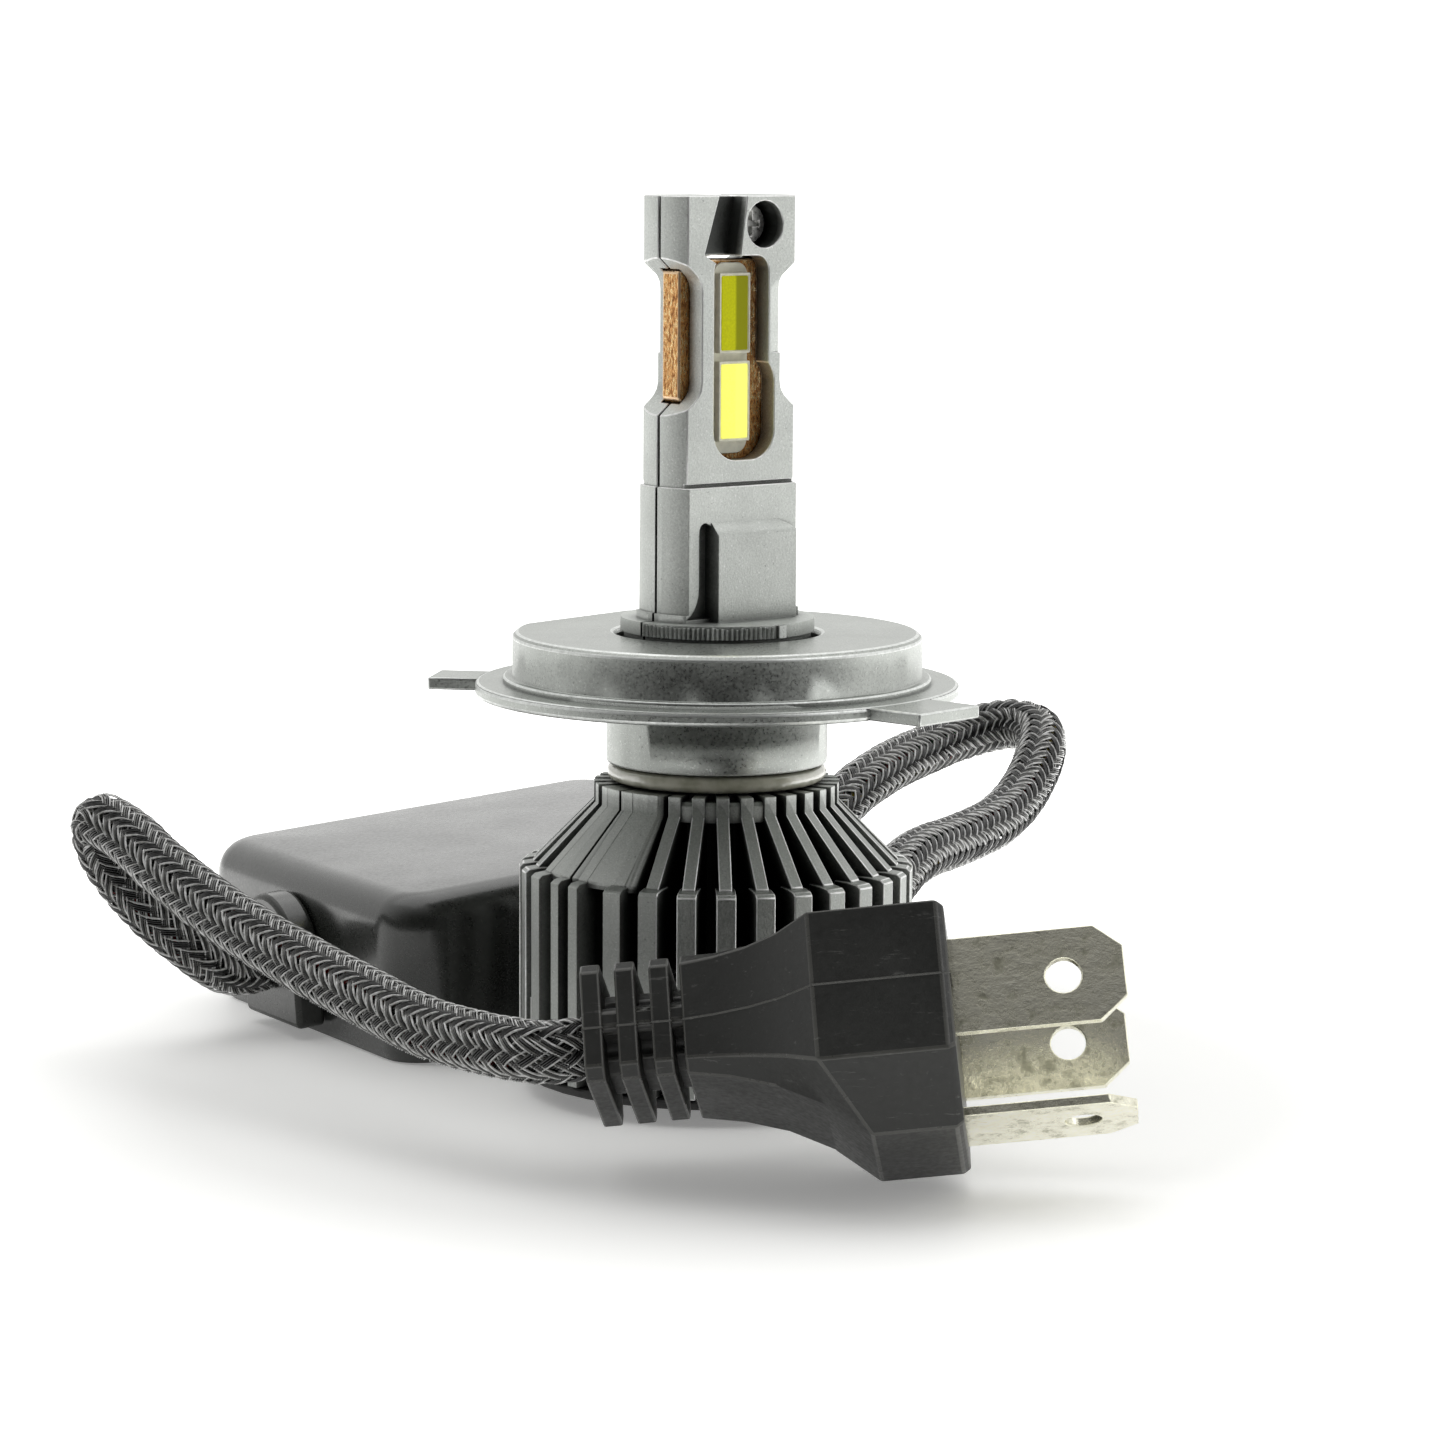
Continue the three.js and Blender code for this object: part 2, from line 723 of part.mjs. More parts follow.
function driverCase() {
  const height = DRIVER[2];
  const shell = prism(driverShape(0, 4.5), 0, height, 6);
  const hollow = prism(driverShape(1.5, 3), -1, height - 1.5, 6);
  const mouths = [-2, DRIVER[0] - 3].map((x) =>
    box(x, x + 5, GLAND_Y - 3.6, GLAND_Y + 3.6, 3.4, 10.2),
  );
  return part("driver_case", "satinBlack", cut(shell, hollow, ...mouths));
}

// Arched outlet block on one end of the driver; its mouth faces -X
function driverGland() {
  const arch = new THREE.Shape();
  arch.moveTo(-GLAND_HALF, 1.2);
  arch.lineTo(GLAND_HALF, 1.2);
  arch.lineTo(GLAND_HALF, GLAND_Z + 1);
  arch.absarc(0, GLAND_Z + 1, GLAND_HALF, 0, Math.PI);
  arch.lineTo(-GLAND_HALF, 1.2);
  const block = prism(arch, 0, GLAND_REACH - 0.1, 8);
  const neck = prism(roundedRect(-3.3, 3.3, GLAND_Z - 3.1, GLAND_Z + 3.1, 1.5), -4.2, 0.5, 4);
  const bore = prism(roundedRect(-2.6, 2.6, GLAND_Z - 1.6, GLAND_Z + 1.6, 1.2), -6, 6, 4);
  const body = joined([block, neck]).subtract(solid(bore));
  return geometryOf(body).rotateX(Math.PI / 2).rotateZ(-Math.PI / 2);
}

function driver() {
  const [length, width] = DRIVER;
  const group = new THREE.Group();
  group.position.set(...DRIVER_AT);
  group.rotation.set(0, deg(-DRIVER_PITCH), deg(DRIVER_TURN), "ZYX");
  const nearGland = part("driver_plug_gland", "satinBlack", driverGland());
  nearGland.position.set(-0.1, GLAND_Y, 0);
  const farGland = part("driver_lamp_gland", "satinBlack", driverGland());
  farGland.position.set(length + 0.1, GLAND_Y, 0);
  farGland.rotation.z = Math.PI;
  const base = prism(driverShape(1.7, 2.8), 0.1, 1.5, 6);
  group.add(
    driverCase(),
    part("driver_base", "satinBlack", base),
    part("driver_board", "circuitBoard", box(5.5, length - 5.5, 4, width - 4, 2.6, 4)),
    part("driver_inductor", "ferrite", at(ring(1.8, 4.6, 4.2, 9.4, 32), 14, 11)),
    part("driver_chip", "satinBlack", box(34, 41, 25, 31, 4.2, 5.8)),
    part("driver_mosfet", "satinBlack", box(34, 40.5, 9, 15.5, 4.2, 6.4)),
    nearGland,
    farGland,
  );
  for (const [i, y] of [13, 28].entries()) {
    group.add(part("driver_capacitor_" + (i + 1), "steel", at(disc(3.6, 4.2, 13.2, 20), 26, y)));
  }
  group.updateMatrixWorld(true);
  return group;
}

// Sleeve along a curve through the given points
function cable(points, steps) {
  const curve = new THREE.CatmullRomCurve3(points.map((p) => new THREE.Vector3(...p)), false, "centripetal");
  const section = new THREE.Shape();
  section.absarc(0, 0, CABLE_R, 0, 2 * Math.PI);
  return new THREE.ExtrudeGeometry(section, {
    steps,
    extrudePath: curve,
    curveSegments: 4,
    bevelEnabled: false,
  });
}

const LAMP_CABLE_BENDS = [
  [12.3, 20.5, 9],
  [15.3, 24.9, 12.2],
  [19.1, 35.2, 14.6],
  [24.6, 46.6, 14.8],
  [28.7, 54.4, 15.4],
  [31.6, 60.8, 17.2],
  [33.9, 67.7, 20.5],
  [33.8, 72.9, 22],
  [31.1, 75.8, 22.3],
  [26.9, 75.6, 21.3],
  [22.2, 71.3, 20.1],
  [17.9, 64.6, 19.2],
  [13.8, 57.4, 17.6],
  [10, 52.1, 14.8],
];

const PLUG_CABLE_BENDS = [
  [-48.8, 14.9, 9.8],
  [-52.6, 13.3, 13.6],
  [-56.2, 13.4, 18.3],
  [-56.8, 12.3, 21.5],
  [-54.1, 9.6, 21],
  [-49.8, 4.8, 18.5],
  [-43.2, -2.7, 15.4],
  [-36.2, -10.7, 13.2],
  [-29.5, -18.8, 11.6],
  [-23, -26.6, 10.4],
];

// World point in the middle of a group's cable mouth
const mouthOf = (group, x, y, z) => group.localToWorld(new THREE.Vector3(x, y, z)).toArray();

function lampCable(driverGroup) {
  const [length] = DRIVER;
  const start = polar(LAMP_EXIT_AZIMUTH, SINK_R + 0.4 + CABLE_GAP);
  const second = polar(LAMP_EXIT_AZIMUTH, SINK_R + 4);
  const end = length + GLAND_REACH + CABLE_GAP;
  const points = [
    [...start, EXIT_Z],
    [...second, EXIT_Z + 0.3],
    ...LAMP_CABLE_BENDS,
    mouthOf(driverGroup, end + 3, GLAND_Y, GLAND_Z),
    mouthOf(driverGroup, end, GLAND_Y, GLAND_Z),
  ];
  return part("lamp_cable", "braid", cable(points, 48));
}

function plugCable(driverGroup, plugGroup) {
  const start = -GLAND_REACH - CABLE_GAP;
  const { from, y, z } = RELIEF;
  const points = [
    mouthOf(driverGroup, start, GLAND_Y, GLAND_Z),
    mouthOf(driverGroup, start - 3, GLAND_Y, GLAND_Z + 0.2),
    ...PLUG_CABLE_BENDS,
    mouthOf(plugGroup, from - 4, y, z),
    mouthOf(plugGroup, from - CABLE_GAP, y, z),
  ];
  return part("plug_cable", "braid", cable(points, 48));
}

// Plug: body, strain relief ribs and three blades, in the plug's own frame

// Outline of the block as eight corners (y, z) in a fixed order, so that outlines can be skinned
function blockOutline(inset = 0) {
  const { end, half, chamfer, drop } = BODY;
  return [
    [inset, half - inset],
    [inset, -half + inset],
    [chamfer, -drop + inset],
    [end - chamfer - 1.4, -drop + inset],
    [end - inset, -half - 0.7 + inset],
    [end - inset, half - inset],
    [end * 0.66, half - inset],
    [end * 0.33, half - inset],
  ];
}

function reliefOutline(halfY, halfZ) {
  const { y, z } = RELIEF;
  const c = Math.min(1, halfZ / 2);
  return [
    [y - halfY, z + halfZ - c],
    [y - halfY, z - halfZ + c],
    [y - halfY + c, z - halfZ],
    [y + halfY - c, z - halfZ],
    [y + halfY, z - halfZ + c],
    [y + halfY, z + halfZ - c],
    [y + halfY - c, z + halfZ],
    [y - halfY + c, z + halfZ],
  ];
}

const flat = (x, outline) => outline.map(([y, z]) => [x, y, z]);
const mixed = (a, b, t) => a.map((point, i) => point.map((v, k) => v + (b[i][k] - v) * t));

// Closed skin over loops of corners, each loop given in the same order
function skinned(loops) {
  const count = loops[0].length;
  const index = [];
  for (let s = 0; s < loops.length - 1; s += 1) {
    for (let i = 0; i < count; i += 1) {
      const j = (i + 1) % count;
      const [a, b] = [s * count + i, s * count + j];
      const [c, d] = [b + count, a + count];
      index.push(a, b, c, a, c, d);
    }
  }
  const last = (loops.length - 1) * count;
  for (let i = 1; i < count - 1; i += 1) {
    index.push(0, i + 1, i);
    index.push(last, last + i, last + i + 1);
  }
  const geometry = new THREE.BufferGeometry();
  geometry.setAttribute("position", new THREE.Float32BufferAttribute(loops.flat(2), 3));
  geometry.setIndex(index);
  return geometry;
}

const stub = (x0, x1, outline) => skinned([flat(x0, outline), flat(x1, outline)]);

function plugBody() {
  const { from, to, halfY, halfZ } = RELIEF;
  const rib = reliefOutline(halfY, halfZ);
  const neck = flat(to, rib);
  const shoulder = flat(BODY.block, blockOutline());
  for (const corner of [2, 3, 4]) shoulder[corner][0] = BODY.heel;
  const flare = [0, 0.1, 0.27, 0.55, 1].map((t, i) => {
    const loop = mixed(neck, shoulder, t);
    return loop.map(([, y, z], k) => [to + ((shoulder[k][0] - to) * i) / 4, y, z]);
  });
  const ribs = [0, 1, 2].map((i) => stub(from + i * RIB_PITCH, from + i * RIB_PITCH + RIB_THICK, rib));
  const body = joined([
    skinned([...flare, flat(-0.6, blockOutline()), flat(0, blockOutline(0.4))]),
    stub(from + 0.4, to + 0.5, reliefOutline(halfY - 0.3, 1.1)),
    stub(from + 0.4, to + 0.5, reliefOutline(3.4, 3.4)),
    ...ribs,
  ]);
  const room = 0.08;
  const { width, thick, root } = BLADE;
  const slots = [BLADE_LOW_Y, BLADE_HIGH_Y].map((y) =>
    box(-root - room, 1, y - thick / 2 - room, y + thick / 2 + room, -width / 2 - room, width / 2 + room),
  );
  const middle = (BLADE_LOW_Y + BLADE_HIGH_Y) / 2;
  slots.push(
    box(
      -root - room,
      1,
      middle - width / 2 - room,
      middle + width / 2 + room,
      BLADE_GROUND_Z - thick / 2 - room,
      BLADE_GROUND_Z + thick / 2 + room,
    ),
  );
  const socket = at(roundedBlock(5, 4, 2.4, 1.4).rotateZ(Math.PI / 2), RELIEF.from, RELIEF.y, RELIEF.z);
  return geometryOf(body.subtract(joined([...slots, socket])));
}

// A blade in the XZ plane, with a hole and chamfered tip corners
function bladeGeometry(slotted) {
  const { width, thick, reach, root } = BLADE;
  const shape = new THREE.Shape();
  shape.moveTo(-root, -width / 2);
  shape.lineTo(reach - 2.2, -width / 2);
  shape.lineTo(reach, -width / 2 + 1.9);
  shape.lineTo(reach, width / 2 - 1.9);
  shape.lineTo(reach - 2.2, width / 2);
  shape.lineTo(-root, width / 2);
  const hole = new THREE.Path();
  if (slotted) hole.absellipse(9.4, 0, 1.5, 1.45, 0, 2 * Math.PI, true);
  else hole.absarc(8.9, 0, 1.45, 0, 2 * Math.PI, true);
  shape.holes.push(hole);
  return slab(shape, -thick / 2, thick / 2, 10);
}

function plug() {
  const group = new THREE.Group();
  group.position.set(...PLUG_AT);
  group.rotation.set(...PLUG_TURN.map(deg), "ZYX");
  const low = part("low_beam_blade", "tin", bladeGeometry(false));
  low.position.y = BLADE_LOW_Y;
  const high = part("high_beam_blade", "tin", bladeGeometry(false));
  high.position.y = BLADE_HIGH_Y;
  const ground = part("ground_blade", "tin", bladeGeometry(true));
  ground.rotation.x = Math.PI / 2;
  ground.position.set(0, (BLADE_LOW_Y + BLADE_HIGH_Y) / 2, BLADE_GROUND_Z);
  group.add(part("plug_body", "satinBlack", plugBody()), low, high, ground);
  group.updateMatrixWorld(true);
  return group;
}

function lamp() {
  const group = new THREE.Group();
  group.rotation.z = deg(LAMP_TURN);
  const core = slab(coreOutline(), -CORE_THICK / 2, CORE_THICK / 2);
  group.add(
    frontShell(),
    backShell(),
    part("copper_core", "copper", core),
    ledSide("front"),
    ledSide("back"),
    headScrew(),
    ...fanParts(),
    ...rotorParts(),
  );
  return group;
}

const bulb = new THREE.Group();
bulb.name = "headlight_bulb";
const plugGroup = plug();
const driverGroup = driver();
bulb.add(lamp(), lampExit(), collar(), snapRing(), oRing(), driverGroup, plugGroup);
bulb.add(lampCable(driverGroup), plugCable(driverGroup, plugGroup));

export default bulb;
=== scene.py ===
"""LED headlight bulb with its driver box and plug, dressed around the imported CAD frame.

Metres, +Z up, the front at -Y. Arguments that end in _mm, and the sizes in looks, are millimetres.
"""

import json
import math
import random

import bmesh
import bpy
import numpy as np
from mathutils import Matrix, Vector

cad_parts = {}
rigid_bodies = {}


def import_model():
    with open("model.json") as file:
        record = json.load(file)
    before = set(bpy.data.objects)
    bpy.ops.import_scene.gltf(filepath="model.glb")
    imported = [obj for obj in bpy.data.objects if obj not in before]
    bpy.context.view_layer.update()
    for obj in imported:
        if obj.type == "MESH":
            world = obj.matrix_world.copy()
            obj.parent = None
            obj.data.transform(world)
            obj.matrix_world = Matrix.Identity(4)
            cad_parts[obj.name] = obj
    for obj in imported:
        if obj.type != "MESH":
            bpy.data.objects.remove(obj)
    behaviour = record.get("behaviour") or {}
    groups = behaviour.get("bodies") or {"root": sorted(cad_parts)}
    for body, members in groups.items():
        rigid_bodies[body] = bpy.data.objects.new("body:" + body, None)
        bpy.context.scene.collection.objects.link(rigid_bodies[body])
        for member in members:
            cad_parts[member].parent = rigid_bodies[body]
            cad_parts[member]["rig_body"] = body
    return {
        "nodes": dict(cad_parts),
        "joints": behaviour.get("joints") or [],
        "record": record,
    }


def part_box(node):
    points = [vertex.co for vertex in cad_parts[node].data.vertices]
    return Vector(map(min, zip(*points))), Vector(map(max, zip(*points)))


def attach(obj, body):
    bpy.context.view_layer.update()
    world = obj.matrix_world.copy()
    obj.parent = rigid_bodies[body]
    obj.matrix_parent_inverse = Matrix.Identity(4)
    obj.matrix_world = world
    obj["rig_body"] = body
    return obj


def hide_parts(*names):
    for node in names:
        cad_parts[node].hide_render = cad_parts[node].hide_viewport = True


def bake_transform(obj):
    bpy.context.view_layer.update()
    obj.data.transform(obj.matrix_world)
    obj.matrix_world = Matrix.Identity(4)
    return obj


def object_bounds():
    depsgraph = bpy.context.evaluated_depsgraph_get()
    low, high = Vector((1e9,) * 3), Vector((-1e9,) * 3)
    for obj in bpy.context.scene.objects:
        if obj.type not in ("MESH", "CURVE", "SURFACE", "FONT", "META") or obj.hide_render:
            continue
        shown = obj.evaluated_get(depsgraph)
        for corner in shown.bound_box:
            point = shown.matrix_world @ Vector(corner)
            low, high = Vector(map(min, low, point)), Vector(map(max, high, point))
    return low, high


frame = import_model()
CAD_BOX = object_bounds()
NODES = frame["nodes"]
MOUNTS = {m["name"]: m for m in frame["record"]["mounts"]}
JOINTS = {j["name"]: j for j in frame["joints"]}
MM = 0.001
FRONT, BACK, UP = (0, -1, 0), (0, 1, 0), (0, 0, 1)
FLANGE_TOP = MOUNTS["collar_seat"]["pos_m"][2]
WELD_GAP = 0.004 * MM


# ---------------------------------------------------------------- places in the frame


def largest_normal(node, toward):
    """The normal of most of a node's surface, among the faces that lean toward a direction."""
    toward = Vector(toward).normalized()
    areas = {}
    for face in NODES[node].data.polygons:
        if face.normal.dot(toward) > 0.6:
            key = tuple(round(c, 2) for c in face.normal)
            areas.setdefault(key, Vector())
            areas[key] += face.normal * face.area
    return max(areas.values(), key=lambda v: v.length).normalized()


def own_frame(node, front, up):
    """A node's own axes at the middle of its box, as a matrix, and its size along them."""
    away = -largest_normal(node, front)
    top = largest_normal(node, up)
    right = away.cross(top).normalized()
    top = right.cross(away).normalized()
    turn = Matrix((right, away, top))
    points = np.array([v.co for v in NODES[node].data.vertices]) @ np.array(turn).T
    low, high = points.min(0), points.max(0)
    middle = turn.transposed() @ Vector((low + high) / 2)
    return Matrix.Translation(middle) @ turn.transposed().to_4x4(), Vector(high - low)


# ---------------------------------------------------------------- materials


# Near-black used for painted shade.
SHADE_BLACK = (0.012, 0.013, 0.012)
RANGE_INPUTS = ("From Min", "From Max", "To Min", "To Max")


class Look:
    """One procedural material. Each method adds nodes to it and returns an output socket."""

    def __init__(self, name, color, roughness=0.5, metallic=0.0, **inputs):
        self.material = bpy.data.materials.new(name)
        self.material.use_nodes = True
        self.material.diffuse_color = (*color, 1)
        self.tree = self.material.node_tree
        self.shader = self.tree.nodes["Principled BSDF"]
        self.place = self.tree.nodes.new("ShaderNodeTexCoord").outputs["Object"]
        self.normal = None
        self.set("Base Color", (*color, 1))
        self.set("Roughness", roughness)
        self.set("Metallic", metallic)
        for key, value in inputs.items():
            self.set(key.replace("_", " "), value)

    def feed(self, socket, value):
        if isinstance(value, bpy.types.NodeSocket):
            self.tree.links.new(value, socket)
        else:
            socket.default_value = value

    def set(self, name, value):
        self.feed(self.shader.inputs[name], value)

    def add(self, kind, inputs=(), **settings):
        node = self.tree.nodes.new(kind)
        for key, value in settings.items():
            setattr(node, key, value)
        for key, value in dict(inputs).items():
            self.feed(node.inputs[key], value)
        return node

    def turned(self, angle=0.0, stretch=(1, 1, 1)):
        """The place in the frame, turned about Z and stretched, so that grain can run one way."""
        mapping = self.add("ShaderNodeMapping", {"Vector": self.place})
        mapping.inputs["Rotation"].default_value = (0, 0, angle)
        mapping.inputs["Scale"].default_value = stretch
        return mapping.outputs["Vector"]

    def noise(self, size_mm, detail=2.0, roughness=0.5, place=None):
        node = self.add("ShaderNodeTexNoise", {"Vector": place or self.place})
        node.inputs["Scale"].default_value = 1 / (size_mm * MM)
        node.inputs["Detail"].default_value = detail
        node.inputs["Roughness"].default_value = roughness
        return node.outputs["Fac"]

    def ramp(self, factor, stops):
        node = self.add("ShaderNodeValToRGB", {"Fac": factor})
        elements = node.color_ramp.elements
        while len(elements) < len(stops):
            elements.new(0.5)
        for element, (position, color) in zip(elements, stops):
            element.position = position
            element.color = (*color, 1) if len(color) == 3 else color
        return node.outputs["Color"]

    def fit(self, value, low, high, new_low, new_high):
        """value scaled from low..high to new_low..new_high and clamped."""
        node = self.add("ShaderNodeMapRange", {"Value": value})
        for key, number in zip(RANGE_INPUTS, (low, high, new_low, new_high)):
            node.inputs[key].default_value = number
        return node.outputs["Result"]

    def calc(self, a, b, operation="ADD"):
        node = self.add("ShaderNodeMath", operation=operation)
        self.feed(node.inputs[0], a)
        self.feed(node.inputs[1], b)
        return node.outputs[0]

    def mix(self, factor, a, b):
        node = self.add("ShaderNodeMix", data_type="RGBA")
        for index, value in ((0, factor), (6, a), (7, b)):
            if isinstance(value, tuple) and len(value) == 3:
                value = (*value, 1)
            self.feed(node.inputs[index], value)
        return node.outputs[2]

    def axis(self, index, place=None):
        return self.add("ShaderNodeSeparateXYZ", {"Vector": place or self.place}).outputs[index]

    def openness(self, reach_mm):
        """1 on open faces, less where the surface is shut in by walls within reach."""
        node = self.add("ShaderNodeAmbientOcclusion", samples=6)
        node.inputs["Distance"].default_value = reach_mm * MM
        return node.outputs["AO"]

    def crevices(self, color, reach_mm, shade_color=SHADE_BLACK, low=0.3, high=0.85):
        """The colour, darkened as painted shade in holes, grooves and inner corners, where nearby walls shut
        out the light.
        """
        return self.mix(self.fit(self.openness(reach_mm), low, high, 0.94, 0), color, shade_color)

    def round_edges(self, radius_mm):
        """Rounds the edges in the shading only. It comes before any bump."""
        node = self.add("ShaderNodeBevel", samples=6)
        node.inputs["Radius"].default_value = radius_mm * MM
        self.normal = node.outputs["Normal"]
        self.set("Normal", self.normal)

    def bump(self, height, depth_mm, strength=1.0):
        node = self.add("ShaderNodeBump", {"Height": height, "Strength": strength})
        node.inputs["Distance"].default_value = depth_mm * MM
        if self.normal:
            self.feed(node.inputs["Normal"], self.normal)
        self.normal = node.outputs["Normal"]
        self.set("Normal", self.normal)


def shade(color, amount):
    """The colour, darker or brighter by a factor."""
    return tuple(min(1.0, channel * amount) for channel in color)


def cast_metal(name, color, roughness=0.46, metallic=0.8, grain=0.2, depth=0.03, reach=2.6):
    """Bead-blasted casting: a fine grain with bright specks, over slow stains, and painted shade in its
    holes, grooves and inner corners.
    """
    look = Look(name, color, roughness, metallic)
    look.round_edges(0.11)
    stains = look.noise(5, 3)
    fine = look.noise(grain, 3, 0.65)
    base = look.ramp(stains, [(0.3, shade(color, 0.9)), (0.7, shade(color, 1.06))])
    base = look.mix(look.fit(fine, 0.38, 0.62, 0.5, 0), base, shade(color, 0.6))
    specks = look.fit(look.noise(grain * 0.8, 1), 0.62, 0.78, 0, 0.6)
    base = look.mix(specks, base, shade(color, 1.5))
    pits = look.fit(look.noise(grain * 1.6, 2, 0.6), 0.68, 0.74, 0, 0.6)
    base = look.mix(pits, base, shade(color, 0.25))
    # Painted shade where nearby walls shut out the light.
    base = look.crevices(base, reach)
    look.set("Base Color", base)
    look.set("Roughness", look.fit(fine, 0.3, 0.7, roughness - 0.12, roughness + 0.12))
    look.bump(fine, depth)
    look.bump(stains, 0.03, 0.6)
    return look, base


def sooty_casting():
    """Cast aluminium, 30 percent darker below the neck, with painted shade: blacker the deeper a surface lies
    between the fins of the heat sink, and near-black in the holes of the head.
    """
    look, base = cast_metal("cast_aluminium", (0.69, 0.715, 0.685))
    neck, cone_top, cone_foot = (z * MM for z in (27.7, 26.1, 20.7))
    foot_radius, top_radius, bar_depth = (r * MM for r in (16.3, 10.9, 1.2))
    x, y, z = (look.axis(k) for k in range(3))
    radius = look.calc(look.calc(look.calc(x, x, "MULTIPLY"), look.calc(y, y, "MULTIPLY")), 0.5, "POWER")
    envelope = look.fit(z, cone_foot, cone_top, foot_radius, top_radius)
    bars = look.fit(z, cone_foot - 0.3 * MM, cone_foot - 0.2 * MM, bar_depth, 0)
    depth = look.calc(look.calc(envelope, bars), radius, "SUBTRACT")
    # Painted shade between the fins: black the deeper a surface lies inside the fins' envelope.
    gap_shade = look.fit(depth, 0.35 * MM, 2.2 * MM, 0, 0.93)
    low = look.fit(z, neck - 0.6 * MM, neck, 1, 0)
    # Below the neck the casting is 30 percent darker.
    base = look.mix(look.calc(low, 0.3, "MULTIPLY"), base, (0, 0, 0))
    base = look.mix(look.calc(gap_shade, low, "MULTIPLY"), base, SHADE_BLACK)
    # Painted shade: near-black inside the slot and counterbores of the head.
    look.set("Base Color", look.mix(head_holes(look), base, (0.03, 0.032, 0.03)))
    return look.material


def head_holes(look):
    """Where painted shade goes: 1 inside the slot and the counterbore in each face of the lamp's head, 0
    elsewhere.
    """
    half_width, half_depth, slot_foot, edge = (v * MM for v in (5.3, 2.95, 5.2, 0.1))
    away = own_frame("low_beam_led_front", FRONT, UP)[0].col[1]
    across, through = (look.axis(k, look.turned(math.atan2(away.x, away.y))) for k in (0, 1))
    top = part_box("front_shell")[1].z
    depth = look.fit(look.calc(through, 0, "ABSOLUTE"), 2.3 * MM, half_depth, 0.85, 0)
    middle = look.fit(look.calc(across, 0, "ABSOLUTE"), half_width, half_width + edge, 1, 0)
    height = look.calc(
        look.fit(look.axis(2), top - slot_foot, top - slot_foot + 2 * edge, 0, 1),
        look.fit(look.axis(2), top - edge, top - edge / 2, 1, 0),
        "MULTIPLY",
    )
    return look.calc(look.calc(depth, middle, "MULTIPLY"), height, "MULTIPLY")


def worn_edge(name, color, roughness=0.3):
    """A rounded edge, brighter than the faces beside it: partly rubbed wear, partly a painted highlight."""
    look = Look(name, color, roughness, 0.9)
    rub = look.noise(0.6, 3, 0.7)
    # The brighter edge colour is partly wear and partly a painted highlight.
    look.set("Base Color", look.ramp(rub, [(0.35, shade(color, 0.86)), (0.65, shade(color, 1.12))]))
    look.set("Roughness", look.fit(rub, 0.3, 0.7, roughness + 0.15, roughness))
    look.bump(look.noise(0.2, 2), 0.008)
    return look.material


def sawn_copper():
    """Rough-sawn copper: short bright scratches along the bar, darker pits and a brown bloom, and painted
    shade in its holes and inner corners.
    """
    look = Look("sawn_copper", (0.75, 0.4, 0.2), 0.4, 0.85)
    along = look.turned(stretch=(1, 1, 0.35))
    scratch = look.noise(0.22, 4, 0.75, along)
    bloom = look.noise(2.2, 3, 0.6)
    dull, warm, bright = (0.3, 0.11, 0.03), (0.85, 0.42, 0.13), (1.0, 0.8, 0.42)
    base = look.ramp(scratch, [(0.38, dull), (0.5, warm), (0.62, bright)])
    base = look.mix(look.fit(bloom, 0.5, 0.8, 0, 0.45), base, (0.36, 0.15, 0.05))
    # Painted shade, dark brown, where the casting round the bar shuts out the light.
    look.set("Base Color", look.crevices(base, 1.2, (0.03, 0.012, 0.006), 0.15, 0.6))
    look.set("Roughness", look.fit(scratch, 0.38, 0.62, 0.5, 0.18))
    look.bump(scratch, 0.1)
    look.bump(look.noise(0.1, 2), 0.02)
    return look.material


def moulded(name, color, roughness=0.4, grain=0.35, depth=0.006, dust=0.25, scuffs=0.0, coat=0.0):
    """Satin black plastic with a fine spark-eroded grain, smudges, dust and light scuffs."""
    look = Look(name, color, roughness)
    fine = look.noise(grain, 2, 0.6)
    smudge = look.noise(9, 4, 0.6)
    base = look.ramp(smudge, [(0.35, shade(color, 0.85)), (0.7, shade(color, 1.25))])
    motes = look.fit(look.noise(0.3, 1, 0.4), 0.7, 0.8, 0, dust)
    base = look.mix(motes, base, shade(color, 4))
    if scuffs:
        streak = look.noise(0.5, 4, 0.75, look.turned(0.6, (0.15, 1, 1)))
        base = look.mix(look.fit(streak, 0.62, 0.72, 0, scuffs), base, (0.3, 0.3, 0.29))
    look.set("Base Color", base)
    look.set("Roughness", look.fit(look.calc(smudge, fine), 0.7, 1.3, roughness - 0.09, roughness + 0.13))
    look.set("Coat Weight", coat)
    look.set("Coat Roughness", 0.2)
    look.bump(fine, depth)
    look.bump(look.noise(6, 2), 0.05, 0.5)
    return look.material


def tinned():
    """Hot-tinned brass: a bright wavy skin with dull dark smears, fine scratches and a yellow tint."""
    look = Look("tinned_brass", (0.78, 0.77, 0.66), 0.2, 1.0)
    smear = look.noise(1.8, 5, 0.72)
    scratch = look.noise(0.35, 3, 0.7, look.turned(0.5, (0.3, 1, 1)))
    dull, clean, bright = (0.5, 0.49, 0.38), (0.86, 0.84, 0.7), (1.0, 0.98, 0.84)
    base = look.ramp(smear, [(0.34, dull), (0.46, clean), (0.66, bright)])
    base = look.mix(look.fit(scratch, 0.6, 0.72, 0, 0.5), base, (0.22, 0.22, 0.17))
    look.set("Base Color", base)
    look.set("Roughness", look.fit(smear, 0.3, 0.7, 0.34, 0.16))
    look.bump(smear, 0.05)
    look.bump(scratch, 0.01)
    return look.material


def turned_steel(name, color, roughness=0.3):
    """Machined or drawn metal with faint tool marks."""
    look = Look(name, color, roughness, 1.0)
    marks = look.noise(0.3, 3, 0.7)
    look.set("Base Color", look.ramp(marks, [(0.3, shade(color, 0.8)), (0.7, shade(color, 1.15))]))
    look.set("Roughness", look.fit(marks, 0.3, 0.7, roughness - 0.08, roughness + 0.15))
    look.bump(marks, 0.006)
    return look.material


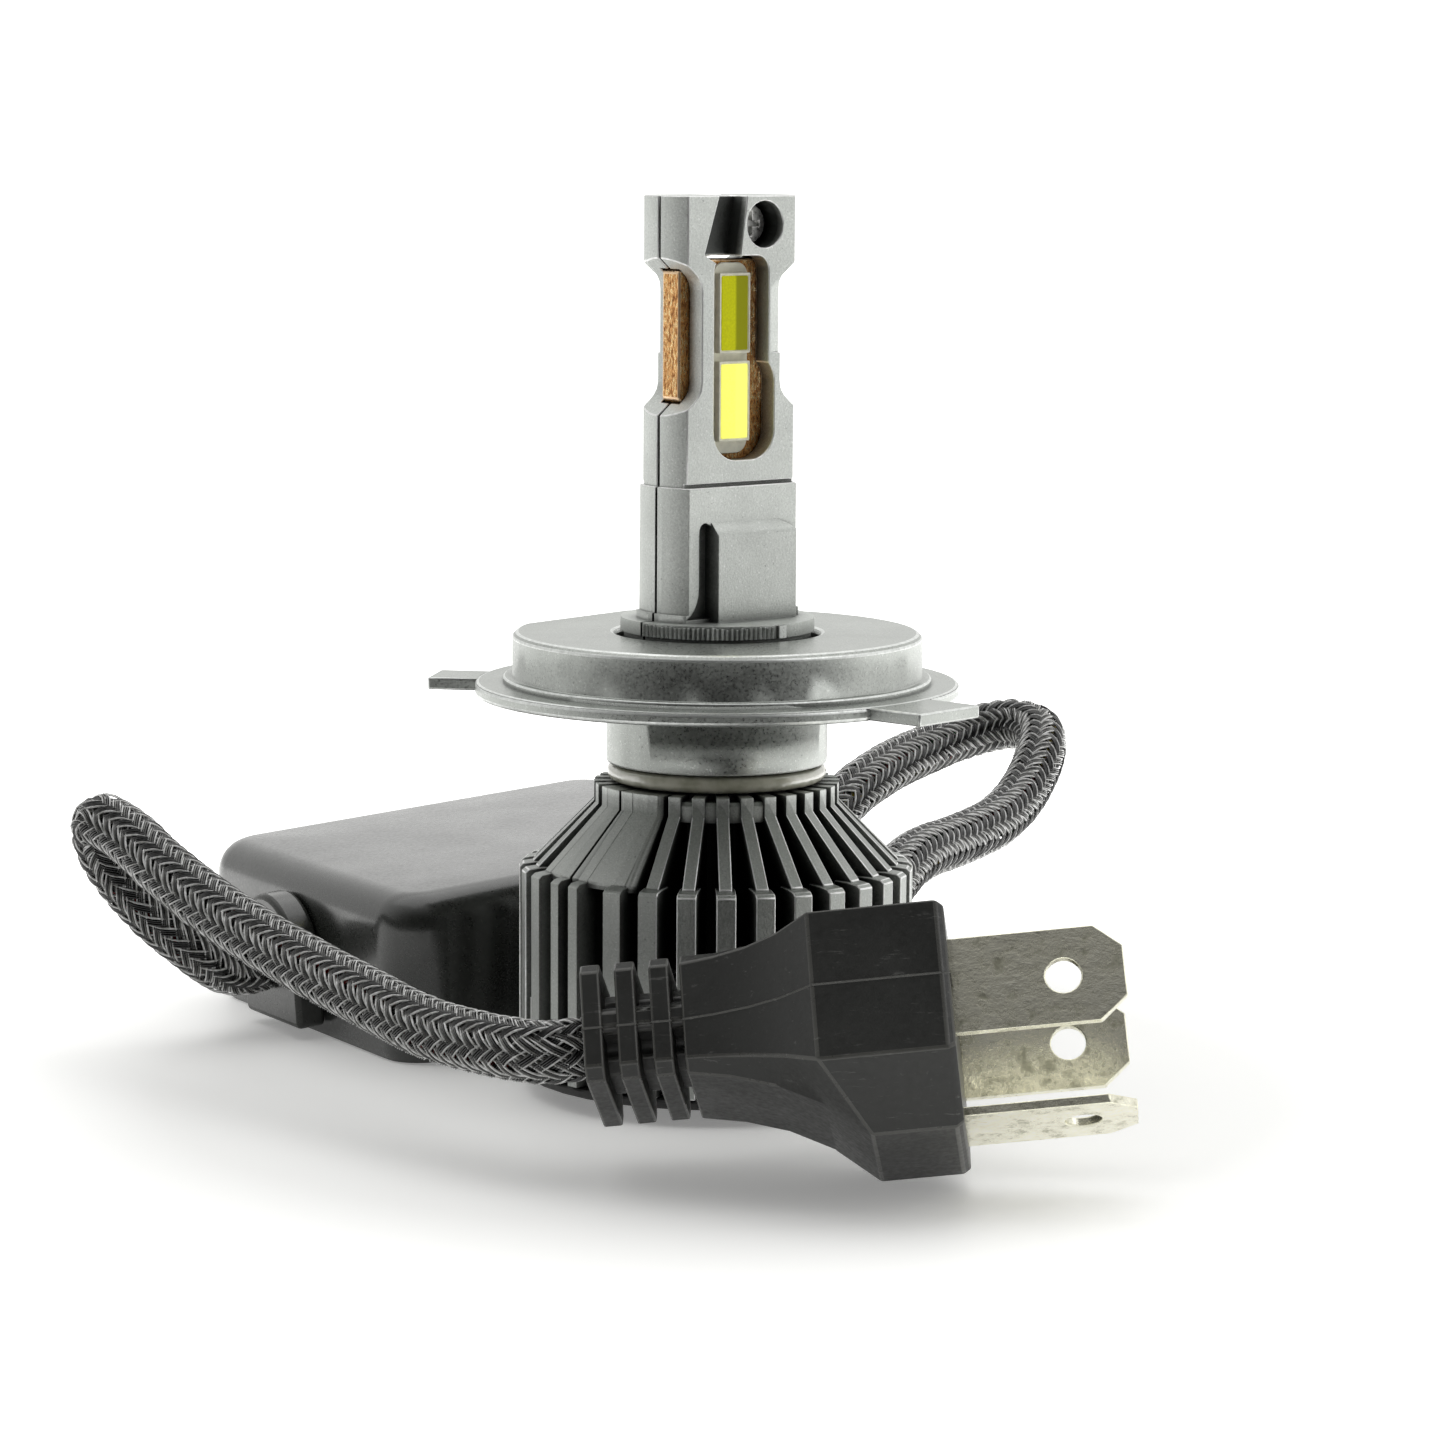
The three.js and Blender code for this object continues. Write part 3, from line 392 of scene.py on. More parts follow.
def silicone_ring():
    """The clear seal: olive, glossy and partly see-through, with cloudy patches."""
    look = Look("clear_rubber", (0.6, 0.58, 0.45), 0.18, 0.0, Transmission_Weight=0.3, IOR=1.42)
    cloud = look.noise(1.6, 3)
    look.set("Base Color", look.ramp(cloud, [(0.35, (0.55, 0.54, 0.42)), (0.65, (0.8, 0.79, 0.66))]))
    look.bump(look.noise(0.8, 2), 0.02)
    return look.material


def phosphor(name, bright, dark, painted_glow, turn, centre, split):
    """Cast silicone over the LED dies, darker past a line near its middle, and giving off a little painted
    light.
    """
    look = Look(name, bright, 0.6)
    across = look.axis(0, look.turned(-turn))
    offset = look.calc(across, centre, "SUBTRACT")
    side = look.fit(offset, split - 0.12 * MM, split + 0.12 * MM, 0, 1)
    grain = look.noise(0.18, 3, 0.6)
    speckled = look.ramp(grain, [(0.3, shade(bright, 0.88)), (0.7, shade(bright, 1.08))])
    color = look.mix(side, speckled, dark)
    look.set("Base Color", color)
    # Painted light: the phosphor gives off a little light of its own colour.
    look.set("Emission Color", color)
    look.set("Emission Strength", painted_glow)
    look.set("Specular IOR Level", 0.15)
    look.bump(grain, 0.008)
    return look.material


def solder_mask(name, color, roughness=0.5):
    """A painted or pressed matt surface, its shade changing slowly."""
    look = Look(name, color, roughness)
    marks = look.noise(0.9, 3)
    look.set("Base Color", look.ramp(marks, [(0.35, shade(color, 0.88)), (0.65, shade(color, 1.06))]))
    look.bump(look.noise(0.25, 2), 0.006)
    return look.material


def filament(name, color, roughness, alpha, coat):
    """Drawn plastic thread: glossy, its shade changing along the thread."""
    look = Look(name, color, roughness, 0.0)
    slow = look.noise(0.7, 3, 0.6)
    look.set("Base Color", look.ramp(slow, [(0.35, shade(color, 0.5)), (0.65, shade(color, 1.35))]))
    look.set("Coat Weight", coat)
    look.set("Coat Roughness", 0.1)
    look.set("Alpha", alpha)
    look.bump(look.noise(0.12, 2), 0.01)
    return look.material


def wire_jacket(name, color):
    """Soft insulation round a wire."""
    look = Look(name, color, 0.35)
    slow = look.noise(1.5, 2)
    look.set("Base Color", look.ramp(slow, [(0.3, shade(color, 0.8)), (0.7, shade(color, 1.1))]))
    look.bump(look.noise(0.4, 2), 0.01)
    return look.material


ALUMINIUM = sooty_casting()
ALUMINIUM_EDGE = worn_edge("cast_aluminium_edge", (0.93, 0.94, 0.92), 0.4)
COLLAR = cast_metal(
    "collar_aluminium", (0.5, 0.52, 0.495), 0.34, metallic=0.92, grain=0.26, depth=0.01, reach=0.7
)[0].material
RIM = cast_metal("knurled_rim", (0.74, 0.76, 0.74), 0.36, reach=0.35)[0].material
COLLAR_EDGE = worn_edge("collar_edge", (0.8, 0.82, 0.8))
COPPER = sawn_copper()
COPPER_EDGE = worn_edge("copper_edge", (0.98, 0.66, 0.42), 0.25)
BLACK = moulded("case_plastic", (0.022, 0.024, 0.021), 0.3, coat=0.9)
BLACK_EDGE = moulded("case_edge", (0.035, 0.037, 0.033), 0.28)
PLUG_BLACK = moulded(
    "plug_plastic", (0.016, 0.0165, 0.015), 0.38, grain=0.5, depth=0.012, dust=0.3, scuffs=0.22
)
PLUG_EDGE = moulded("plug_edge", (0.06, 0.06, 0.055), 0.3, grain=0.5, depth=0.01, dust=0.3, scuffs=0.3)
FAN_BLACK = moulded("fan_plastic", (0.022, 0.022, 0.022), 0.42)
TIN = tinned()
TIN_EDGE = worn_edge("tin_edge", (0.9, 0.88, 0.72), 0.22)
STEEL = turned_steel("screw_steel", (0.72, 0.72, 0.7))
SPRING = turned_steel("spring_steel", (0.42, 0.42, 0.4), 0.35)
BRONZE = turned_steel("bronze", (0.62, 0.45, 0.24), 0.4)
COIL = turned_steel("coil_copper", (0.7, 0.33, 0.14), 0.3)
CAN = turned_steel("capacitor_can", (0.66, 0.66, 0.64), 0.28)
SEAL = silicone_ring()
WHITE_BOARD = solder_mask("white_board", (0.9, 0.88, 0.74))
GREEN_BOARD = solder_mask("circuit_board", (0.05, 0.2, 0.08), 0.35)
FERRITE = solder_mask("ferrite", (0.07, 0.07, 0.075), 0.6)
EPOXY = solder_mask("component_black", (0.03, 0.03, 0.03), 0.45)
THREADS = [
    filament("clear_thread", (0.9, 0.9, 0.86), 0.12, 0.95, 1.0),
    filament("grey_thread", (0.14, 0.14, 0.13), 0.14, 0.9, 1.0),
    filament("black_thread", (0.012, 0.012, 0.012), 0.18, 1.0, 0.8),
]
WIRES = {
    "red": wire_jacket("red_wire", (0.5, 0.03, 0.02)),
    "black": wire_jacket("black_wire", (0.02, 0.02, 0.02)),
    "green": wire_jacket("green_wire", (0.02, 0.22, 0.06)),
    "yellow": wire_jacket("yellow_wire", (0.65, 0.5, 0.03)),
    "white": wire_jacket("white_wire", (0.5, 0.5, 0.47)),
}


# ---------------------------------------------------------------- mesh helpers


def piece_from(name, mesh, body, materials, nodes=()):
    """Links a mesh as a piece that rides on a body, if one is given, and stands for CAD nodes."""
    mesh.materials.clear()
    for material in materials:
        mesh.materials.append(material)
    piece = bpy.data.objects.new(name, mesh)
    bpy.context.scene.collection.objects.link(piece)
    if body:
        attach(piece, body)
    if nodes:
        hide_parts(*nodes)
    return piece


def mesh_of(name, points, faces):
    """A new mesh from points and the numbers of the points of each face."""
    mesh = bpy.data.meshes.new(name)
    mesh.from_pydata([tuple(p) for p in points], [], faces)
    mesh.update()
    return mesh


def soften(piece, width_mm, segments):
    """Rounds a piece's marked edges, in its second material if it has one. Flat faces stay flat."""
    bevel = piece.modifiers.new("rounded_edges", "BEVEL")
    bevel.width = width_mm * MM
    bevel.segments = segments
    bevel.limit_method = "WEIGHT"
    bevel.use_clamp_overlap = False
    bevel.material = 1 if len(piece.data.materials) > 1 else -1
    piece.modifiers.new("flat_faces", "WEIGHTED_NORMAL").keep_sharp = True
    return piece


def merged_copy(node, angle, chosen):
    """A CAD node's mesh with each flat face in one piece and its outer edges marked for rounding.

    The edges turn by more than the angle, in degrees, and both their ends are chosen.
    """
    mesh = NODES[node].data.copy()
    bm = bmesh.new()
    bm.from_mesh(mesh)
    bmesh.ops.remove_doubles(bm, verts=bm.verts, dist=WELD_GAP)
    bmesh.ops.dissolve_degenerate(bm, edges=bm.edges, dist=WELD_GAP)
    bmesh.ops.dissolve_limit(bm, angle_limit=math.radians(1), verts=bm.verts, edges=bm.edges)
    bmesh.ops.recalc_face_normals(bm, faces=bm.faces)
    rounding = bm.edges.layers.float.new("bevel_weight_edge")
    for edge in bm.edges:
        if edge.is_manifold and edge.is_convex and edge.calc_face_angle() > math.radians(angle):
            edge[rounding] = 1.0 if chosen is None or all(chosen(v.co) for v in edge.verts) else 0.0
    bm.to_mesh(mesh)
    bm.free()
    mesh.shade_smooth()
    return mesh


def refined(node, materials, width_mm, segments=2, angle=30, smooth=40, chosen=None):
    """A piece with the shape of a CAD node and rounded outer edges, or only those whose ends are chosen."""
    mesh = merged_copy(node, angle, chosen)
    mesh.set_sharp_from_angle(angle=math.radians(smooth))
    body = NODES[node]["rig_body"]
    piece = piece_from(node + "_made", mesh, body, materials, [node])
    return soften(piece, width_mm, segments)


def tube_faces(start, size, rings):
    """The sides and end caps of a tube whose rings, of size points each, follow the point number start."""
    faces = []
    for i in range(rings - 1):
        a, b = start + i * size, start + (i + 1) * size
        faces.extend((a + k, b + k, b + (k + 1) % size, a + (k + 1) % size) for k in range(size))
    faces.append(tuple(start + k for k in range(size)))
    faces.append(tuple(start + (rings - 1) * size + k for k in reversed(range(size))))
    return faces


def loft(name, rings, closed=False, capped=True):
    """A mesh through rings of the same number of points, in a loop or with its ends filled."""
    count = len(rings[0])
    points = [p for ring in rings for p in ring]
    faces = []
    spans = len(rings) if closed else len(rings) - 1
    for i in range(spans):
        a = i * count
        b = (i + 1) % len(rings) * count
        for k in range(count):
            n = (k + 1) % count
            faces.append((a + k, a + n, b + n, b + k))
    if capped and not closed:
        faces.append(tuple(reversed(range(count))))
        faces.append(tuple(range((len(rings) - 1) * count, len(rings) * count)))
    mesh = mesh_of(name, points, faces)
    mesh.shade_smooth()
    return mesh


def rounded_outline(half_x, half_y, radius, z, steps=6):
    """Points round a rectangle with round corners, anticlockwise seen from above."""
    points = []
    corners = ((1, 1, 0), (-1, 1, 90), (-1, -1, 180), (1, -1, 270))
    for sx, sy, start in corners:
        for i in range(steps + 1):
            a = math.radians(start + 90 * i / steps)
            x = sx * (half_x - radius) + radius * math.cos(a)
            y = sy * (half_y - radius) + radius * math.sin(a)
            points.append(Vector((x, y, z)))
    return points


# ---------------------------------------------------------------- the lamp


def has_crisp_edge(point):
    """True on the fins and above the post's foot, False on the plain cone skin, the foot and its slots."""
    post_foot, fin_top = FLANGE_TOP + 17.0 * MM, FLANGE_TOP - 9.0 * MM
    azimuth = math.degrees(math.atan2(point.x, -point.y)) % 180
    on_plain_skin = 110 < azimuth < 162
    return point.z > post_foot or (point.z < fin_top and not on_plain_skin)


def cast_shells():
    for node in ("front_shell", "back_shell"):
        materials = [ALUMINIUM, ALUMINIUM_EDGE]
        refined(node, materials, 0.09, smooth=20, chosen=has_crisp_edge)


def collar_parts():
    refined("collar", [COLLAR, COLLAR_EDGE], 0.16)
    refined("snap_ring", [SPRING], 0.12)
    low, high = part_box("o_ring")
    thick = (high.z - low.z) / 2
    radius = (high.x - low.x) / 2 - thick
    middle = (low + high) / 2
    steps, corners = 96, 16
    rings = []
    for i in range(steps):
        around = 2 * math.pi * i / steps
        out = Vector((math.cos(around), math.sin(around), 0))
        ring = []
        for k in range(corners):
            t = 2 * math.pi * k / corners
            ring.append(middle + out * (radius + thick * math.cos(t)) + Vector((0, 0, thick * math.sin(t))))
        rings.append(ring)
    piece_from("seal_ring", loft("seal_ring", rings, closed=True), "lamp", [SEAL], ["o_ring"])


def led_side(side):
    """The two chips and the board on one face of the lamp's head."""
    front = FRONT if side == "front" else BACK
    place = own_frame("low_beam_led_" + side, front, UP)[0]
    away = place.col[1].to_3d()
    turn = math.atan2(-away.x, away.y)
    right = place.col[0].to_3d()
    # For each beam: the bright and dark colours of its phosphor, and how strongly it gives off painted light.
    looks = {
        "low": ((0.55, 0.56, 0.004), (0.26, 0.265, 0.003), 0.26),
        "high": ((0.99, 0.98, 0.16), (0.97, 0.95, 0.18), 0.6),
    }
    for beam, (bright, dark, painted_glow) in looks.items():
        node = beam + "_beam_led_" + side
        place, size = own_frame(node, front, UP)
        centre = Vector(place.translation).dot(right)
        silicone = phosphor(node, bright, dark, painted_glow, turn, centre, 0.08 * MM)
        chip = led_chip(node + "_made", size, place)
        pad = [face.material_index for face in chip.polygons]
        piece_from(chip.name, chip, "lamp", [WHITE_BOARD, silicone], [node])
        chip.polygons.foreach_set("material_index", pad)
    refined("led_board_" + side, [WHITE_BOARD, WHITE_BOARD], 0.06)


def led_chip(name, size, place):
    """A ceramic frame round a slightly domed pad of phosphor, with a groove between them."""
    x, y, z = (s / 2 for s in size)
    rim, floor = 0.16 * MM, -y + 0.07 * MM
    rings = [
        (0.0, y),
        (0.0, -y + 0.05 * MM),
        (0.04 * MM, -y),
        (rim, -y),
        (rim + 0.03 * MM, floor),
        (rim + 0.09 * MM, floor),
        (rim + 0.14 * MM, -y),
        (rim + 0.5 * MM, -y - 0.03 * MM),
    ]
    loops = []
    for inset, depth in rings:
        outline = rounded_outline(x - inset, z - inset, 0.12 * MM, 0, 3)
        loops.append([place @ Vector((p.x, depth, p.y)) for p in outline])
    mesh = loft(name, loops)
    count = len(loops[0])
    first_of_pad, back_cap = 5 * count, 7 * count
    for face in mesh.polygons:
        if face.index >= first_of_pad and face.index != back_cap:
            face.material_index = 1
    mesh.set_sharp_from_angle(angle=math.radians(40))
    return mesh


def base_teeth():
    """The knurled rim round the foot of the post: uneven teeth, with a plain block beside them."""
    rng = random.Random(4)
    top = FLANGE_TOP + 5.72 * MM
    bottom = top - 1.1 * MM
    inner, crest, gap = 8.4 * MM, 8.84 * MM, 0.26 * MM
    points, faces = [], []

    def band(first, last, count, toothed):
        start = len(points)
        for i in range(count + 1):
            azimuth = math.radians(first + (last - first) * i / count)
            out = crest - toothed * ((gap if i % 2 else 0) + rng.uniform(0, 0.08) * MM)
            height = top - toothed * rng.uniform(0, 0.2) * MM
            direction = Vector((math.sin(azimuth), -math.cos(azimuth), 0))
            for radius, z in ((inner, bottom), (out, bottom), (out, height), (inner, height)):
                points.append(direction * radius + Vector((0, 0, z)))
        faces.extend(tube_faces(start, 4, count + 1))

    for turn in (0, 180):
        band(turn - 48, turn + 34, 58, 1)
        band(turn + 37.5, turn + 43, 4, 0)
    mesh = mesh_of("base_teeth", points, faces)
    piece_from("base_teeth", mesh, "lamp", [RIM])


def neck_ring():
    """The solid ring that joins the tops of the fins, open at the splits and beside the plain cone skin."""
    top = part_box("o_ring")[0].z - 0.6 * MM
    profile = ((8.9, -1.75), (10.7, -1.75), (10.7, -0.3), (10.45, 0), (8.9, 0))
    sweep, steps = 47, 24
    points, faces = [], []
    for first in (-18.5, 161.5):
        start = len(points)
        for i in range(steps + 1):
            azimuth = math.radians(first + sweep * i / steps)
            for radius, z in profile:
                out = radius * MM
                points.append((out * math.sin(azimuth), -out * math.cos(azimuth), top + z * MM))
        faces.extend(tube_faces(start, len(profile), steps + 1))
    mesh = mesh_of("neck_ring", points, faces)
    mesh.shade_smooth()
    mesh.set_sharp_from_angle(angle=math.radians(30))
    piece_from("neck_ring", mesh, "lamp", [ALUMINIUM])


def lamp_pieces():
    cast_shells()
    refined("copper_core", [COPPER, COPPER_EDGE], 0.18, 3)
    for side in ("front", "back"):
        led_side(side)
    refined("head_screw", [STEEL], 0.08)
    base_teeth()
    neck_ring()
    collar_parts()


def fan_pieces():
    looks = {
        "fan_cover": (FAN_BLACK, "fan_plastic", 0.2),
        "fan_frame": (FAN_BLACK, "fan_plastic", 0.12),
        "fan_rotor": (FAN_BLACK, "fan_plastic", 0.08),
        "fan_board": (GREEN_BOARD, "circuit_board", 0.06),
        "fan_bearing": (BRONZE, "bronze", 0.08),
        "fan_stator": (COIL, "coil_copper", 0.12),
        "fan_magnet": (FERRITE, "ferrite", 0.06),
        "fan_shaft": (STEEL, "screw_steel", 0.1),
        "lamp_gland": (BLACK, "case_plastic", 0.25),
    }
    for i in range(1, 5):
        looks["cover_screw_" + str(i)] = (STEEL, "screw_steel", 0.05)
    for node, (material, slot, width) in looks.items():
        refined(node, [material], width)


# ---------------------------------------------------------------- the driver box


def driver_pieces():
    plug_side = (-0.85, -0.53, 0)
    place, size = own_frame("driver_case", plug_side, UP)
    case = case_shell(size, corner=5.0, crown=3.2, foot=0.8, wall=1.6)
    case.transform(place)
    piece_from("driver_case_made", case, "driver", [BLACK], ["driver_case"])
    refined("driver_base", [BLACK], 0.4)
    for node in ("driver_plug_gland", "driver_lamp_gland"):
        refined(node, [BLACK, BLACK_EDGE], 0.5, 3)
    looks = {
        "driver_board": (GREEN_BOARD, "circuit_board", 0.1),
        "driver_inductor": (FERRITE, "ferrite", 0.4),
        "driver_chip": (EPOXY, "component_black", 0.15),
        "driver_mosfet": (EPOXY, "component_black", 0.15),
        "driver_capacitor_1": (CAN, "capacitor_can", 0.3),
        "driver_capacitor_2": (CAN, "capacitor_can", 0.3),
    }
    for node, (material, slot, width) in looks.items():
        refined(node, [material], width)


def case_shell(size, corner, crown, foot, wall):
    """A box open below, with round corners and a generous round top edge. Millimetres, but for its size."""
    half_x, half_y, half_z = (s / 2 for s in size)
    steps = 8

    def ring(inset, z, round_mm):
        return rounded_outline(half_x - inset * MM, half_y - inset * MM, round_mm * MM, z, steps)

    rings = [
        ring(wall, -half_z, corner - wall),
        ring(foot * 0.4, -half_z, corner - foot * 0.4),
        ring(0, -half_z + foot * MM, corner),
    ]
    for i in range(steps + 1):
        a = math.pi / 2 * i / steps
        inset = crown * (1 - math.cos(a))
        rings.append(ring(inset, half_z - (crown - crown * math.sin(a)) * MM, max(corner - inset, 0.8)))
    rings.append(ring(crown + 6, half_z + 0.12 * MM, 2))
    mesh = loft("driver_case_made", rings, capped=False)
    bm = bmesh.new()
    bm.from_mesh(mesh)
    count = len(rings[0])
    corners = bm.verts[:]
    bm.faces.new(corners[-count:])
    ceiling = [bm.verts.new(p) for p in ring(wall, half_z - (wall + 0.6) * MM, corner - wall)]
    for k in range(count):
        n = (k + 1) % count
        bm.faces.new((corners[n], corners[k], ceiling[k], ceiling[n]))
    bm.faces.new(list(reversed(ceiling)))
    bmesh.ops.recalc_face_normals(bm, faces=bm.faces)
    bm.to_mesh(mesh)
    bm.free()
    mesh.shade_smooth()
    mesh.set_sharp_from_angle(angle=math.radians(50))
    return mesh


# ---------------------------------------------------------------- the plug


def plug_seam(blade):
    """The thin flash line left by the mould, level with the upper blades, all round the plug."""
    place = own_frame(blade, FRONT, UP)[0]
    up = place.col[2].to_3d()
    level = Vector(place.translation)
    bm = bmesh.new()
    bm.from_mesh(NODES["plug_body"].data)
    bmesh.ops.remove_doubles(bm, verts=bm.verts, dist=WELD_GAP)
    whole = bm.verts[:] + bm.edges[:] + bm.faces[:]
    cut = bmesh.ops.bisect_plane(bm, geom=whole, plane_co=level, plane_no=up)["geom_cut"]
    points, faces = [], []
    proud = 0.1 * MM
    for edge in (g for g in cut if isinstance(g, bmesh.types.BMEdge)):
        ends = [v.co.copy() for v in edge.verts]
        out = (ends[1] - ends[0]).cross(up).normalized() * proud
        start = len(points)
        for end in ends:
            points.extend((end + out, end + up * proud, end - out, end - up * proud))
        a, b = start, start + 4
        faces.extend((a + k, a + (k + 1) % 4, b + (k + 1) % 4, b + k) for k in range(4))
        faces.extend(((a + 3, a + 2, a + 1, a), (b, b + 1, b + 2, b + 3)))
    bm.free()
    piece_from("plug_seam", mesh_of("plug_seam", points, faces), "plug", [PLUG_EDGE])


def plug_pieces():
    refined("plug_body", [PLUG_BLACK, PLUG_EDGE], 0.2, 3)
    plug_seam(min(("low_beam_blade", "high_beam_blade"), key=lambda node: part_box(node)[0].y))
    for node in ("low_beam_blade", "high_beam_blade", "ground_blade"):
        refined(node, [TIN, TIN_EDGE], 0.1)


# ---------------------------------------------------------------- cables


def centre_line(node, start):
    """Points along the middle of a cable's CAD solid, from its end nearest to start."""
    bm = bmesh.new()
    bm.from_mesh(NODES[node].data)
    bmesh.ops.remove_doubles(bm, verts=bm.verts, dist=WELD_GAP)
    bm.verts.ensure_lookup_table()
    start = Vector(start)
    first = min(bm.verts, key=lambda v: (v.co - start).length)
    caps = [f.normal for f in first.link_faces]
    best, layer = None, None
    for normal in caps:
        flat = [v for v in bm.verts if abs((v.co - first.co).dot(normal)) < 0.02 * MM]
        near = {v for v in flat if (v.co - first.co).length < 8 * MM}
        middle = sum((v.co for v in near), Vector()) / len(near)
        spread = max((v.co - middle).length for v in near) - min((v.co - middle).length for v in near)
        if len(near) >= 6 and (best is None or spread < best):
            best, layer = spread, near
    seen = set(layer)
    line = []
    while layer:
        line.append(sum((v.co for v in layer), Vector()) / len(layer))
        layer = {e.other_vert(v) for v in layer for e in v.link_edges} - seen
        seen |= layer
    bm.free()
    return np.array(line)


def resampled(line, step):
    """A smooth curve through the line's points, at equal steps along it."""
    padded = np.vstack([2 * line[0] - line[1], line, 2 * line[-1] - line[-2]])
    fine = []
    for a, b, c, d in zip(padded, padded[1:], padded[2:], padded[3:]):
        slope, bend, twist = c - a, 2 * a - 5 * b + 4 * c - d, 3 * b - a - 3 * c + d
        for t in np.linspace(0, 1, 8, endpoint=False):
            fine.append(0.5 * (2 * b + slope * t + bend * t**2 + twist * t**3))
    fine.append(line[-1])
    fine = np.array(fine)
    lengths = np.concatenate([[0], np.cumsum(np.linalg.norm(np.diff(fine, axis=0), axis=1))])
    count = max(2, round(lengths[-1] / step))
    places = np.linspace(0, lengths[-1], count + 1)
    return np.stack([np.interp(places, lengths, fine[:, k]) for k in range(3)], 1), places


def carried_frames(curve):
    """Two normals of a curve that turn with it as little as possible."""
    tangents = np.gradient(curve, axis=0)
    tangents /= np.linalg.norm(tangents, axis=1)[:, None]
    normal = np.cross(tangents[0], (0, 0, 1))
    normals = []
    for tangent in tangents:
        normal = normal - tangent * (normal @ tangent)
        normal = normal / np.linalg.norm(normal)
        normals.append(normal)
    normals = np.array(normals)
    return normals, np.cross(tangents, normals)


BRAID_CARRIERS = 12
BRAID_RADIUS = 2.4 * MM
BRAID_PITCH = 17.4 * MM
BRAID_LIFT = 0.2 * MM
THREAD_PITCH = 0.205 * MM
THREAD_SECTION = ((-0.11, -0.07), (0.0, 0.1), (0.11, -0.07))
THREAD_LOOKS = {1: (0, 1, 2, 0), -1: (0, 2, 2, 2)}
WIRE_ROOM = 2.08 * MM
WIRE_TWIST = 55 * MM


def braid(name, curve, places, way):
    """All the bundles of threads that wind one way. They pass over two and under two of the others."""
    normals, sides = carried_frames(curve)
    looks = THREAD_LOOKS[way]
    points, faces, owners = [], [], []
    rng = random.Random(11 + way)
    for carrier in range(BRAID_CARRIERS):
        wobble = rng.uniform(-0.05, 0.05)
        angle = 2 * math.pi * (carrier / BRAID_CARRIERS + way * places / BRAID_PITCH) + wobble
        wave = np.tanh(1.2 * np.cos(BRAID_CARRIERS / 2 * (angle - wobble))) * way
        radius = BRAID_RADIUS + BRAID_LIFT * wave
        out = normals * np.cos(angle)[:, None] + sides * np.sin(angle)[:, None]
        middle = curve + out * radius[:, None]
        run = np.gradient(middle, axis=0)
        run /= np.linalg.norm(run, axis=1)[:, None]
        across = np.cross(out, run)
        across /= np.linalg.norm(across, axis=1)[:, None]
        for thread, look in enumerate(looks):
            offset = (thread - (len(looks) - 1) / 2) * THREAD_PITCH + rng.uniform(-0.02, 0.02) * MM
            drop = offset**2 / (2 * BRAID_RADIUS) + rng.uniform(-0.03, 0.03) * MM
            start = len(points)
            corners = [middle + across * (offset + x * MM) + out * (y * MM - drop) for x, y in THREAD_SECTION]
            points.extend(np.stack(corners, 1).reshape(-1, 3))
            faces.extend(tube_faces(start, len(THREAD_SECTION), len(curve)))
            owners += [look] * (len(faces) - len(owners))
    mesh = mesh_of(name, points, faces)
    mesh.shade_smooth()
    piece = piece_from(name, mesh, None, THREADS)
    mesh.polygons.foreach_set("material_index", owners)
    return piece


def wires(name, curve, places, colors):
    """The insulated wires inside the sleeve, loosely twisted."""
    normals, sides = carried_frames(curve)
    share = 1 / math.sin(math.pi / len(colors))
    wire_radius = WIRE_ROOM / (1 + share)
    orbit = wire_radius * share
    points, faces, owners = [], [], []
    corners = 10
    for index in range(len(colors)):
        angle = 2 * math.pi * (index / len(colors) + places / WIRE_TWIST)
        out = normals * np.cos(angle)[:, None] + sides * np.sin(angle)[:, None]
        middle = curve + out * orbit
        start = len(points)
        for k in range(len(curve)):
            for c in range(corners):
                a = 2 * math.pi * c / corners
                points.append(middle[k] + wire_radius * (normals[k] * math.cos(a) + sides[k] * math.sin(a)))
        for k in range(len(curve) - 1):
            a, b = start + k * corners, start + (k + 1) * corners
            faces.extend((a + c, a + (c + 1) % corners, b + (c + 1) % corners, b + c) for c in range(corners))
        faces.append(tuple(start + c for c in reversed(range(corners))))
        faces.append(tuple(start + (len(curve) - 1) * corners + c for c in range(corners)))
        owners += [index] * (len(faces) - len(owners))
    mesh = mesh_of(name, points, faces)
    mesh.shade_smooth()
    piece = piece_from(name, mesh, None, [WIRES[c] for c in colors])
    mesh.polygons.foreach_set("material_index", owners)
    return piece


def cable(node, hinge, colors):
    """A braided sleeve over its wires, along the cable's CAD solid from its end nearest the joint."""
    joint = JOINTS[hinge]
    start = Vector(joint["pos_m"])
    line = centre_line(node, start)
    curve, places = resampled(line, 0.33 * MM)
    pieces = [
        braid(node + "_clear_threads", curve, places, 1),
        braid(node + "_black_threads", curve, places, -1),
    ]
    coarse, steps = resampled(line, 1.2 * MM)
    pieces.append(wires(node + "_wires", coarse, steps, colors))
    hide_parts(node)
    for piece in pieces:
        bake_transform(piece)


def cables():
    exit_way = Vector(JOINTS["lamp_cable_flex"]["pos_m"])
    exit_way.z = 0
    cable("lamp_cable", "lamp_cable_flex", ["red", "green", "black", "yellow"])
    cable("plug_cable", "plug_cable_flex", ["red", "black", "white"])


# ---------------------------------------------------------------- the studio


